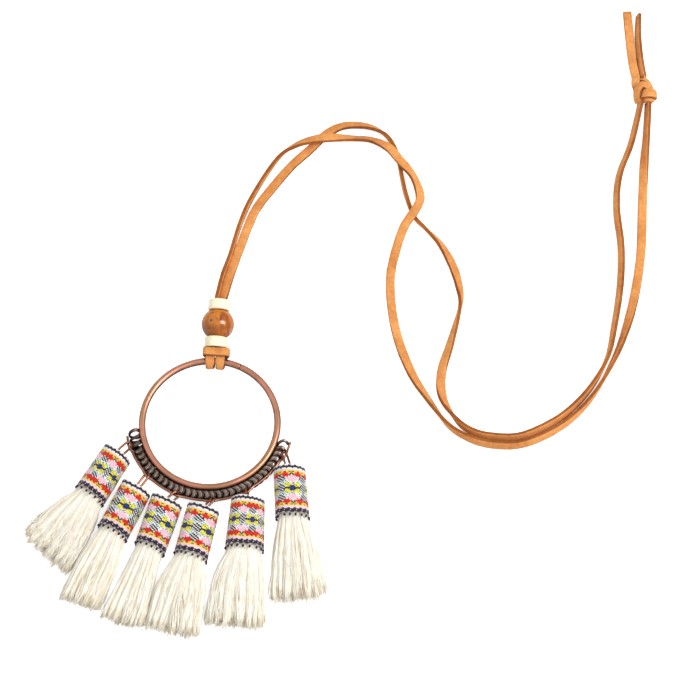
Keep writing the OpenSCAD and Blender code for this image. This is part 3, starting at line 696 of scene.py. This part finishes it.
def makeCoil():
    verts = []
    section = coilSection()
    rings = round(coil["turns"] * coil["steps"]) + 1
    helix = (coil["d"] - coil["wireT"]) / 2
    z = coil["d"] / 2
    for k in range(rings):
        turn = k / coil["steps"]
        c, s = cosSin(180 - turn * 360)
        top = max(0, s)
        full = fullness(turn)
        jog = sum(size * math.sin(turn * pace) for size, pace in coil["jogs"])
        bow = mix(coil["endBow"][turn > coil["turns"] / 2], coil["bow"], full) * top ** 1.5
        lean = -1 if bow < 0 else 1
        pinch = coil["pinch"][0] * (c + coil["pinch"][1])
        ripple = coil["ripple"][0] * math.sin(turn * coil["ripple"][1])
        wide = coil["wireW"] * mix(coil["openWide"], 1, full) * (1 - pinch + ripple)
        for across, out in section:
            angle = turnAngle(turn) + math.degrees((across * wide + jog + bow) / coil["r"])
            r = helix + out * coil["wireT"] + (across - 0.5) * coil["scale"] * top * lean
            verts.append(polar(coil["r"] + r * c, angle, z + r * s))
    # The core inside the coil is a dark wire standing for shade, and the solder is dark in the same painted
    # shade
    core, solder = coil["core"], coil["solder"]
    centre = [polar(coil["r"], a, z)
              for a in range(coil["from"] + core["in"][0], coil["to"] - core["in"][1], core["step"])]
    parts = [(verts, *skinFaces(rings, len(section), 0, coilSlot, 1)),
             shadeWire(centre, core, lambda n: min(1, core["taper"] * (1 + min(n, len(centre) - 1 - n))))]
    for k in range(round(coil["turns"]) // solder["every"] + 1):
        angle = turnAngle(solder["first"] + k * solder["every"])
        a = polar(hoop["r"] + solder["bite"], angle, hoop["z"])
        b = polar(coil["r"] - helix, angle, z)
        points = [a + (b - a) * s for s in (0, 0.25, 0.5, 0.75, 1)]
        parts.append(shadeWire(points, solder, lambda n: solder["shares"][n]))
    finishes = [metalOf[n] for n in ("coilOxide", "coilEdgeHighlight", "coilShadeAndJoint", "coilRim", "coilGrooveShade")]
    makePiece("hoopCoil", *joinMeshes(parts), finishes, "copper_hoop", "hoop")


# Tassels: the ring's and the head's place round the hoop, the ring's reach, the way that the head points and
# its width, the fringe's half widths at its middle and tip, and its length at the left, middle and right
tassels = [dict(zip(("hang", "head", "reach", "facing", "width", "leftMid", "leftTip", "rightMid", "rightTip",
                     "leftEnd", "middleEnd", "rightEnd"), row)) for row in (
    [197.4, 200.7, 1.00, -120.4, 1.00, 0.84, 1.16, 0.67, 0.68, 0.76, 0.92, 0.97],
    [223.2, 225.0, 1.27, -115.2, 0.99, 0.60, 0.56, 0.62, 0.70, 0.99, 0.98, 0.93],
    [247.5, 244.4, 0.74, -107.2, 0.99, 0.54, 0.76, 0.43, 0.54, 0.93, 1.01, 0.90],
    [272.0, 267.4, 0.64, -102.8, 1.02, 0.79, 0.85, 0.68, 0.79, 0.88, 0.98, 0.90],
    [297.2, 295.6, 0.60, -93.1, 1.09, 0.92, 1.06, 0.64, 0.72, 0.94, 0.98, 0.95],
    [334.1, 327.9, 0.84, -86.1, 1.00, 0.64, 0.82, 0.68, 0.88, 0.97, 1.05, 0.97])]
rail = {"wire": 0.9, "r": 30.762, "z": 4.427, "outer": 30.25, "follow": 0.6, "clear": 2.72, "ease": 6.5,
        "lift": 0.3, "ends": (4, 0.4), "step": 1.0, "sides": 12}
ring = {"wire": 0.85, "width": 3.5, "reach": 4.5, "inside": 0.35, "gap": 0.1, "bend": 14, "sides": 12,
        "tilt": [50, -50, 38, -40, 15, 42]}
railStops = [coil["from"] + rail["ends"][0]] + [t["hang"] for t in tassels] + [coil["to"] + rail["ends"][1]]


def headPlace(t):
    return polar(rail["r"] + t["reach"] * ring["reach"], t["head"])


# Between the rings the wire lies on the coil's outer shoulder
def railPoint(angle):
    k = max(n for n in range(len(railStops) - 1) if railStops[n] <= angle or n == 0)
    a, b = railStops[k], railStops[k + 1]
    chord = rail["r"] * math.cos(math.radians((b - a) / 2))
    low = mix(chord, rail["outer"], rail["follow"])
    near = min(min(abs(angle - stop) for stop in railStops[1:-1]) / rail["ease"], 1)
    weight = math.cos(near * math.pi / 2) ** 2
    lie = coil["d"] / 2 + math.sqrt(max(0, rail["clear"] ** 2 - (low - coil["r"]) ** 2))
    z = mix(max(lie, mix(lie, rail["z"], rail["lift"])), rail["z"], weight)
    return polar(mix(low, rail["r"], weight), angle, z)


def makeRail():
    count = round((railStops[-1] - railStops[0]) / rail["step"])
    points = [railPoint(mix(railStops[0], railStops[-1], k / count)) for k in range(count + 1)]
    makePiece("railWire", *wireMesh(points, rail["wire"] / 2, rail["sides"]), [metalOf["wireCopper"]],
              "copper_wire", "rail_wire")


# Jump rings, each tilted its own way, from round the rail to inside the yarn loop
def makeRing(i):
    t = tassels[i]
    far = headPlace(t) + polar(ring["inside"], t["facing"])
    hang = polar(rail["r"], t["hang"])
    d = (far - hang).normalized()
    chords = [(polar(rail["r"], railStops[k + 1]) - polar(rail["r"], railStops[k])).normalized()
              for k in (i, i + 1)]
    across = min(d.cross(c).length for c in chords)
    near = hang - d * (((rail["wire"] + ring["wire"]) / 2 + ring["gap"]) / across)
    run = (ring["width"] - ring["wire"]) / 2
    length = (far - near).length - 2 * run
    upright = turnAbout(d, ring["tilt"][i]) @ upAxis
    points = []
    for end, first in ((0, 90), (length, -90)):
        for k in range(ring["bend"] + 1):
            c, s = cosSin(first + 180 * k / ring["bend"])
            points.append(near + d * (run + end + run * c) + upright * (run * s) + upAxis * rail["z"])
    makePiece("jumpRing%d" % (i + 1),
              *wireMesh(points, ring["wire"] / 2, ring["sides"], True, axis=d.cross(upright)),
              [metalOf["ringCopper"]], "copper_wire", "jump_ring_%d" % (i + 1))


makeHoop()
makeCoil()
makeRail()
for i in range(len(tassels)):
    makeRing(i)
print("hoop, coil, rail and rings made")

# Woven ribbon: one letter a stitch, for half a repeat across and half of the ribbon's height
threads = {
    "w": "#f1edea", "q": "#f0d3dc", "n": "#21182c", "k": "#2b262f", "p": "#f2b9cb", "y": "#f4d556",
    "o": "#ef9130", "r": "#d6230f", "a": "#cbe6ea", "c": "#e6dd4c", "b": "#1c2c8c"}
threadOrder = sorted(threads)
chart = 6 * ["wwwwwwwwwwwwwww"] + [
    "qqqqqqqqqqqqqqq",
    "yyyyyyyyyyyyyyy",
    "kkyyykkkyyykkky",
    "yyyoorrroooyyyk",
    "kyorrrrrrroykkk",
    "kkrrrrrrrrrokkw",
    "hhhrrrrrrrrkkpp",
    "hhhhrrrrrrwpppp",
    "hhhhhkwwwkppppp",
    "hhhhhhwpppppppp",
    "hhhhhhhpppppppp",
    "hhhhhaawppppppp",
    "khhhaaaawwppppp",
    "gghaaaaaaagggpp",
    "ggaaaaccccaaagg",
    "hhgaaccccccccca",
    "hhhgacccccccccw",
    "hhhhkccccccckkk",
    "hhhhhkwcccckkbb",
    "hhhhhkkkkkkbbbb"]
# Weave marks of a letter: the run of its diagonal, how much of it is marked, the mark's thread and the rest's
weaveMarks = {"h": (6, 4, "k", "w"), "g": (6, 2, "k", "w"), "a": (6, 1, "k", "a"), "p": (5, 1, "w", "p"),
              "c": (9, 1, "k", "c")}
# Dark wavy line near the top: its middle row, swing, half thickness and length in columns
wavyLine = {"row": 2.4, "swing": 0.5, "half": 1.3, "length": 7}
ribbon = {"height": 18.3, "half": 14, "thick": 0.75, "round": 5.0, "width": 12.0,
          "repeat": [7.1, 9.2, 9.2, 10.0, 7.1, 8.6], "start": [-1.6, -3.7, -0.4, 0.1, -4.8, -3.8],
          "halfDrop": [True, False, False, False, True, False], "slant": [0.10, 0.08, 0.12, 0.07, 0.04, 0.08],
          "flare": [0.03, 0.01, -0.02, 0.015, 0.075, 0.03], "wave": 0.12, "scallop": 0.3,
          "dropRows": (19, 32), "hem": (46, 48), "hemRun": 7, "hemDark": 3,
          "wideRed": (9, 10, 11, 12), "redFrom": 5, "shade": 0.72,
          "relief": 0.13, "ease": 0.6, "flush": 0.02, "edge": 0.3}
picot = {"pitch": 2.2, "wide": 0.46, "sink": 0.2, "sides": 6, "stray": 0.12, "lean": (-0.25, 0.35),
         "rise": (-0.5, 0.0, 0.35, 0.6, 1.0, 1.45), "swell": (0.25, 0.25, 0.3, 0.8, 1.0, 0.45)}


def darker(code):
    return [v * ribbon["shade"] for v in colour(code)[:3]] + [1]


threadOf = {c: groupMaterial("thread_" + c, "fibre", {
    "Color": code, "Shade Color": darker(code), "Patch Scale": 1400.0, "Fuzz Scale": 7000.0},
    {"Roughness": 0.6, "Sheen Weight": 0.2, "Specular IOR Level": 0.35}, (0.25, 0.03))
    for c, code in threads.items()}


# The letter of a stitch, at a place counted in columns from the middle of the red pair
def stitchAt(row, place, halfDrop):
    half, last = ribbon["half"], 2 * len(chart) - 1
    pale, dark = ribbon["hem"]
    inRun = place % ribbon["hemRun"]
    if row >= dark:
        return "q" if row == dark + 1 and inRun == ribbon["hemDark"] else "n"
    if row >= pale:
        return "n" if row > pale and inRun < ribbon["hemDark"] else "q"
    swing = wavyLine["swing"] * math.sin(2 * math.pi * place / wavyLine["length"])
    if abs(row - wavyLine["row"] - swing) < wavyLine["half"]:
        return "n"
    if halfDrop and ribbon["dropRows"][0] <= row <= ribbon["dropRows"][1]:
        place += half
    j = place % (2 * half)
    line, column = min(row, last - row), min(j, 2 * half - j)
    if halfDrop and line in ribbon["wideRed"]:
        column = max(column, ribbon["redFrom"])
    letter = chart[line][column]
    if letter in weaveMarks:
        run, marked, mark, rest = weaveMarks[letter]
        letter = mark if (2 * row - place) % run < marked else rest
    return letter


def perimeterOf(t):
    return 4 * (ribbon["width"] * t["width"] / 2 - ribbon["round"]) + 2 * math.pi * ribbon["round"]


# A point on the ribbon's oval tube, share going round from the middle of the underside
def ovalPoint(share, width, inset):
    r = ribbon["round"]
    flat = width / 2 - r
    run = share * (4 * flat + 2 * math.pi * r)
    spans = [flat, math.pi * r, 2 * flat, math.pi * r, flat]
    k = 0
    while k < 4 and run > spans[k]:
        run -= spans[k]
        k += 1
    q = r - inset
    if k == 0:
        return run, r - q
    if k == 2:
        return flat - run, r + q
    if k == 4:
        return -flat + run, r - q
    a = run / r + (-math.pi / 2 if k == 1 else math.pi / 2)
    return (flat if k == 1 else -flat) + q * math.cos(a), r + q * math.sin(a)


def tasselFrame(t):
    return Matrix.Translation(headPlace(t)) @ turnAbout("Z", t["facing"])


def makeRibbon(i):
    t = tassels[i]
    place = tasselFrame(t)
    height, perimeter = ribbon["height"], perimeterOf(t)
    rows = 2 * len(chart)
    step = height / rows
    stitchW = ribbon["repeat"][i] / (2 * ribbon["half"])
    columns = round(perimeter / stitchW)
    across = [round(((0.5 - (j + 0.5) / columns) * perimeter - ribbon["start"][i]) / stitchW)
              for j in range(columns)]
    stitches = [[stitchAt(r, c, ribbon["halfDrop"][i]) for c in across] for r in range(rows)]
    slant = ribbon["slant"][i] * perimeter / (2 * math.pi)
    count = round(perimeter / picot["pitch"])

    def widthAt(away):
        return ribbon["width"] * t["width"] * (1 + ribbon["flare"][i] * away)

    def lineAt(x, insets, scallop=0.0):
        away = 2 * x / height - 1
        line = []
        for j in range(columns):
            y, z = ovalPoint(j / columns, widthAt(away), insets[j])
            turn = 2 * math.pi * j / columns
            wave = ribbon["wave"] * math.sin(3 * turn + i) * away
            edge = scallop * (0.5 - 0.5 * math.cos(turn * count))
            line.append(place @ Vector((x + slant * math.sin(turn) + wave - edge, y, z)))
        return line
    lines = [lineAt(0, [ribbon["edge"]] * columns)]
    for r in range(rows):
        last = r == rows - 1
        scallop = ribbon["scallop"] if last else 0.0
        tops = [ribbon["flush"] if stitches[r][j] == stitches[r][j - 1] else ribbon["relief"] * ribbon["ease"]
                for j in range(columns)]
        lines.append(lineAt((r + 0.5) * step, tops, scallop * 0.5))
        lines.append(lineAt((r + 1) * step, [ribbon["edge" if last else "relief"]] * columns, scallop))
    outer = len(lines)
    for share in (1, 0.66, 0.33, 0):
        scallop = ribbon["scallop"] if share == 1 else 0.0
        lines.append(lineAt(height * share, [ribbon["thick"]] * columns, scallop))

    def threadSlot(k, j):
        return threadOrder.index(stitches[k // 2][j] if k < outer - 1 else "w")
    parts = [([v for line in lines for v in line],
              *skinFaces(len(lines), columns, 0, threadSlot, loop=True))]
    dark, pale = threadOrder.index("n"), threadOrder.index("q")
    for k in range(count):
        share = (k + 0.5 + dice.uniform(-picot["stray"], picot["stray"])) / count
        lean = dice.uniform(*picot["lean"])
        points = []
        for s in picot["rise"]:
            y, z = ovalPoint((share + lean * s / perimeter) % 1, widthAt(1), picot["sink"])
            points.append(place @ Vector((height + slant * math.sin(2 * math.pi * share) + s, y, z)))
        v, f, s = wireMesh(points, picot["wide"], picot["sides"], False, lambda n: picot["swell"][n])
        parts.append((v, f, [pale if n < 2 * picot["sides"] else dark for n in range(len(s))]))
    makePiece("ribbon%d" % (i + 1), *joinMeshes(parts), [threadOf[c] for c in threadOrder], "woven_ribbon",
              "band_%d" % (i + 1), smooth=False)


for i in range(len(tassels)):
    makeRibbon(i)
print("ribbons woven")

# Fringe: strands that follow the tassel's outer form, in locks, over a core darker as painted shade
fringe = {
    "headW": 12.0, "headH": 10.0, "ribbonT": 1.0, "fit": 0.15, "length": 30.0, "tipH": 6.2, "tipLow": 0.36,
    "groove": 1.1, "grooveSide": 0.3, "locks": 9, "notch": 0.09, "square": 0.82, "bed": 0.05,
    "narrowest": 0.2,
    "cuts": (0, 0.1, 0.22, 0.35, 0.48, 0.6, 0.72, 0.82, 0.91, 1.0),
    "core": {"share": 0.84, "top": 0.8, "from": 1.0, "to": 0.95, "sides": 40}}
# Strands: how many, how fluffy and how combed out on each tassel, and the spans that one strand is drawn from
strand = {
    "count": [1900, 1250, 1250, 1250, 1250, 1250], "fluff": [1.8, 1.0, 1.0, 1.1, 1.1, 1.2],
    "combed": [1.7, 1.1, 1.1, 1.1, 1.1, 1.2], "waves": 34, "wave": (0.3, 4.5, 0.022),
    "layers": ((0.62, 0.9, 0.985), (0.85, 0.62, 0.92), (1.0, 0.05, 0.7)),
    "above": 0.72, "aboveSpan": (-8, 188), "underSpan": (180, 360), "pull": (0.1, 0.75), "stray": 0.35,
    "together": 0.8, "own": (0.25, 1.3), "drift": 6, "bend": 0.35, "phase": 0.9, "reach": (0.94, 1.02),
    "uneven": 0.015, "thick": 0.19, "thickSpan": (0.75, 1.15), "thinTip": 0.8, "tuck": 1.6, "floor": 0.25,
    "sway": (3, 5), "swing": 6, "bob": (0.4, 7),
    "outside": 0.88, "outerTones": (0.55, 0.35, 0.1), "innerTones": (0.2, 0.45, 0.35), "tipShare": 0.35}
# Rows down the fringe: share of its length, how far the width has gone to that of the middle and of the tip,
# how far it has sunk on the surface, and how deep the grooves between the locks are
fringeRows = [
    [0.00, 0.00, 0.00, 0.00, 0.00], [0.07, 0.22, 0.00, 0.18, 0.15], [0.20, 0.62, 0.00, 0.42, 0.35],
    [0.42, 1.00, 0.10, 0.68, 0.60], [0.68, 1.00, 0.55, 0.88, 0.80], [1.00, 1.00, 1.00, 1.00, 1.00]]


def rowAt(share):
    k = 0
    while k < len(fringeRows) - 2 and share > fringeRows[k + 1][0]:
        k += 1
    a, b = fringeRows[k], fringeRows[k + 1]
    return [mix(p, q, (share - a[0]) / (b[0] - a[0])) for p, q in zip(a, b)]


def fringePoint(t, row, angle, depth, reach=1.0):
    down, toMiddle, toTip, sunk, parted = row
    c, s = cosSin(angle)
    under = s < 0
    hand = "right" if c > 0 else "left"
    wall = fringe["ribbonT"] + fringe["fit"]
    edge = mix(fringe["headW"] * t["width"] / 2 - wall, t[hand + "Mid"] * fringe["headW"], toMiddle)
    edge = mix(edge, t[hand + "Tip"] * fringe["headW"], toTip)
    low, halfH = fringe["tipH"] * fringe["tipLow"], fringe["headH"] / 2 - wall
    topH, underH = mix(halfH, fringe["tipH"] - low, sunk), mix(halfH, low - fringe["bed"], sunk)
    wave = (1 - cosSin(angle * 2 * fringe["locks"])[0]) / 2
    groove = 0 if under else (1 - wave) * fringe["groove"] * parted
    blunt = mix(1, fringe["square"], sunk)
    out = mix(t[hand + "End"], t["middleEnd"], abs(s))
    ragged = 1 - fringe["notch"] * (0.5 if under else 1 - wave) * parted
    x = ribbon["height"] + fringe["length"] * down * mix(1, out, down) * mix(1, ragged, down) * reach
    y = signPower(c, blunt) * max(fringe["narrowest"], edge - groove * fringe["grooveSide"])
    z = -underH * abs(s) ** mix(1, 0.5, sunk) if under else (topH - groove) * abs(s) ** blunt
    return Vector((x, y * depth, mix(fringe["headH"] / 2, low, sunk) + z * depth))


# One strand of tassel i, three-sided, with its tone, darker deeper in as painted shade: neighbours share most
# of their bends
def drawStrand(i, rows, waves):
    fluff, combed = strand["fluff"][i], strand["combed"][i]
    layer = dice.random()
    depth = dice.uniform(*next(span for upTo, *span in strand["layers"] if layer < upTo))
    angle = dice.uniform(*strand["aboveSpan" if dice.random() < strand["above"] else "underSpan"])
    share = angle % 360 / 180
    lock = (math.floor(share * fringe["locks"]) + 0.5) * 180 / fringe["locks"]
    pull = dice.uniform(*strand["pull"]) / combed ** 2 if share < 1 else 0
    wave = waves[math.floor(share / 2 * len(waves) + dice.gauss(0, strand["stray"])) % len(waves)]
    own = strand["own"][0 if dice.random() < strand["together"] else 1] * combed
    drift = (wave[2] + dice.gauss(0, strand["drift"]) * own) * fluff
    bend = (wave[0] + dice.gauss(0, strand["bend"]) * own) * fluff
    phase = wave[1] + dice.gauss(0, strand["phase"]) * own
    reach = dice.uniform(*strand["reach"]) + (wave[3] + dice.gauss(0, strand["uneven"])) * fluff
    thick = strand["thick"] * dice.uniform(*strand["thickSpan"]) / math.sqrt(combed)
    spin = dice.uniform(0, 120)
    points = []
    sway, pace = strand["sway"]
    bob, bobPace = strand["bob"]
    for k, row in enumerate(rows):
        s = row[0]
        a = mix(angle, lock, pull * s) + drift * s * s + sway * bend * math.sin(phase + pace * s)
        p = fringePoint(tassels[i], row, a, depth, mix(1, reach, s))
        if k == 0:
            p.x -= strand["tuck"]
        p.y += bend * s * math.sin(phase * 2 + strand["swing"] * s)
        p.z = max(strand["floor"], p.z + abs(bend) * bob * s * math.sin(phase + bobPace * s))
        r = thick * (strand["thinTip"] if k == len(rows) - 1 else 1)
        for m in range(3):
            c, b = cosSin(spin + 120 * m)
            points.append(p + Vector((0, r * c, r * b)))
    # Strands deeper in take the darker tones more often: painted shade between the locks
    tones = strand["outerTones" if depth > strand["outside"] else "innerTones"]
    return points, dice.choices((0, 1, 2), tones)[0]


# The core, in the deepest tone, painted shade between the strands
def coreMesh(t, rows):
    core = fringe["core"]
    points = []
    for k, row in enumerate([rows[0]] + rows[:-1] + [rowAt(core["to"])]):
        for m in range(core["sides"]):
            p = fringePoint(t, row, 360 * m / core["sides"], core["share"] if k else core["top"])
            if k == 0:
                p.x = core["from"]
            points.append(p)
    faces, _ = skinFaces(len(rows) + 1, core["sides"])
    return inSlot((points, faces), 2)


def makeFringe(i):
    rows = [rowAt(s) for s in fringe["cuts"]]
    verts, faces, slots = [], [], []
    bend, drift, uneven = strand["wave"]
    waves = [(dice.gauss(0, bend), dice.uniform(0, 6.28), dice.gauss(0, drift), dice.gauss(0, uneven))
             for _ in range(strand["waves"])]
    for n in range(strand["count"][i]):
        points, tone = drawStrand(i, rows, waves)
        f, _ = skinFaces(len(rows), 3, len(verts))
        verts += points
        faces += f
        slots += [tone] * len(f)
        # Some tips take the shade tone: painted shade at the fringe's ends
        if dice.random() < strand["tipShare"]:
            slots[-5:] = [2] * 5
    place = tasselFrame(tassels[i])
    verts, faces, slots = joinMeshes([(verts, faces, slots), coreMesh(tassels[i], rows)] + yarnLoop())
    makePiece("fringe%d" % (i + 1), [place @ v for v in verts], faces, slots, yarns, "cotton_yarn",
              "skirt_%d" % (i + 1))


# The fold of yarn that stands out of the head's top round the jump ring, and the head's strands. A ring of
# strands is given by its x, half width and half height
yarnFold = {"r": 1.45, "inside": 0.35, "thick": 1.2, "plies": 7, "ply": 0.2, "twist": 0.35, "from": 2.2,
            "cuts": 12, "sides": 5}
yarnHead = {"strands": 46, "stray": 0.3, "far": (2.6, 4.4, 3.5), "middle": (2.9, 2.3), "middleX": (0.9, 1.3),
            "near": (1.6, 1.2, 0.8), "arch": -0.35, "r": 0.34, "sides": 4}


def yarnLoop():
    r, z, parts = yarnFold["r"], rail["z"], []
    centre = [Vector((yarnFold["from"], r, z))]
    for k in range(yarnFold["cuts"] + 1):
        c, s = cosSin(180 * k / yarnFold["cuts"])
        centre.append(Vector((yarnFold["inside"] - r * s, r * c, z)))
    centre.append(Vector((yarnFold["from"], -r, z)))
    for ply in range(yarnFold["plies"]):
        off = yarnFold["thick"] / 2 - yarnFold["ply"] if ply else 0
        points = []
        for k, p in enumerate(centre):
            side = along(centre, k).cross(upAxis).normalized()
            a = 2 * math.pi * ply / yarnFold["plies"] + k * yarnFold["twist"]
            points.append(p + side * (off * math.cos(a)) + upAxis * (off * math.sin(a)))
        parts.append(inSlot(wireMesh(points, yarnFold["ply"], yarnFold["sides"]), ply % 2))
    high = fringe["headH"] / 2
    for k in range(yarnHead["strands"]):
        stray = dice.uniform(-yarnHead["stray"], yarnHead["stray"])
        c, s = cosSin(360 * (k + stray) / yarnHead["strands"])
        x, halfW, halfH = yarnHead["far"]
        far = Vector((x, halfW * c, high + halfH * s))
        halfW, halfH = yarnHead["middle"]
        mid = Vector((dice.uniform(*yarnHead["middleX"]), halfW * c, high + halfH * s))
        x, halfW, halfH = yarnHead["near"]
        near = Vector((x, halfW * c, z + halfH * s))
        arch = (far + mid) / 2 + Vector((yarnHead["arch"], 0, 0))
        parts.append(inSlot(wireMesh([far, arch, mid, near], yarnHead["r"], yarnHead["sides"]), k % 3))
    return parts


for i in range(len(tassels)):
    makeFringe(i)
print("fringes made")

# Floor and light, in metres
stageSettings = {"floorSize": 6.0, "floor": "#f6f6f6", "glow": 0.8,
                 "horizon": 0.36, "zenith": 0.82, "rise": 0.6,
                 "key": {"at": (0.78, -0.08, 1.0), "size": 0.5, "height": 0.85, "watts": 10.0},
                 "spark": {"at": (0.77, -0.08, 0.98), "size": 0.16, "height": 0.28, "watts": 0.9},
                 "side": {"at": (-0.9, 0.3, 0.9), "size": 1.0, "height": 1.0, "watts": 1.8}}


def makeFloor(s):
    half = s["floorSize"] / 2
    mesh = bpy.data.meshes.new("floor")
    corners = [(-half, -half, 0), (half, -half, 0), (half, half, 0), (-half, half, 0)]
    mesh.from_pydata(corners, [], [(0, 1, 2, 3)])
    floor = bpy.data.objects.new("floor", mesh)
    scene.collection.objects.link(floor)
    tone = colour(s["floor"])
    material, tree, shader = newMaterial("paleFloor", {
        "Base Color": tone, "Roughness": 0.9, "Specular IOR Level": 0.1, "Emission Color": tone})
    seen = addNode(tree, "LightPath").outputs["Is Camera Ray"]
    tree.links.new(mathOf(tree, "MULTIPLY", seen, s["glow"]), shader.inputs["Emission Strength"])
    mesh.materials.append(material)


def makeLight(name, s):
    data = bpy.data.lights.new(name, "AREA")
    data.shape = "RECTANGLE"
    data.size = s["size"]
    data.size_y = s["height"]
    data.energy = s["watts"]
    light = bpy.data.objects.new(name, data)
    light.location = s["at"]
    light.rotation_euler = (-Vector(s["at"])).to_track_quat("-Z", "Y").to_euler()
    scene.collection.objects.link(light)


def makeWorld(s):
    world = bpy.data.worlds.new("studio")
    scene.world = world
    world.use_nodes = True
    tree = world.node_tree
    sky = tree.nodes["Background"]
    place = addNode(tree, "TexCoord").outputs["Generated"]
    height = addNode(tree, "SeparateXYZ", {0: place}).outputs["Z"]
    tree.links.new(spread(tree, height, 0.0, s["rise"], s["horizon"], s["zenith"]), sky.inputs["Strength"])
    sky.inputs["Color"].default_value = (1, 1, 1, 1)


makeFloor(stageSettings)
makeLight("keyLight", stageSettings["key"])
makeLight("sparkLight", stageSettings["spark"])
makeLight("sideLight", stageSettings["side"])
makeWorld(stageSettings)
scene.view_settings.view_transform = "Standard"
print("stage set")
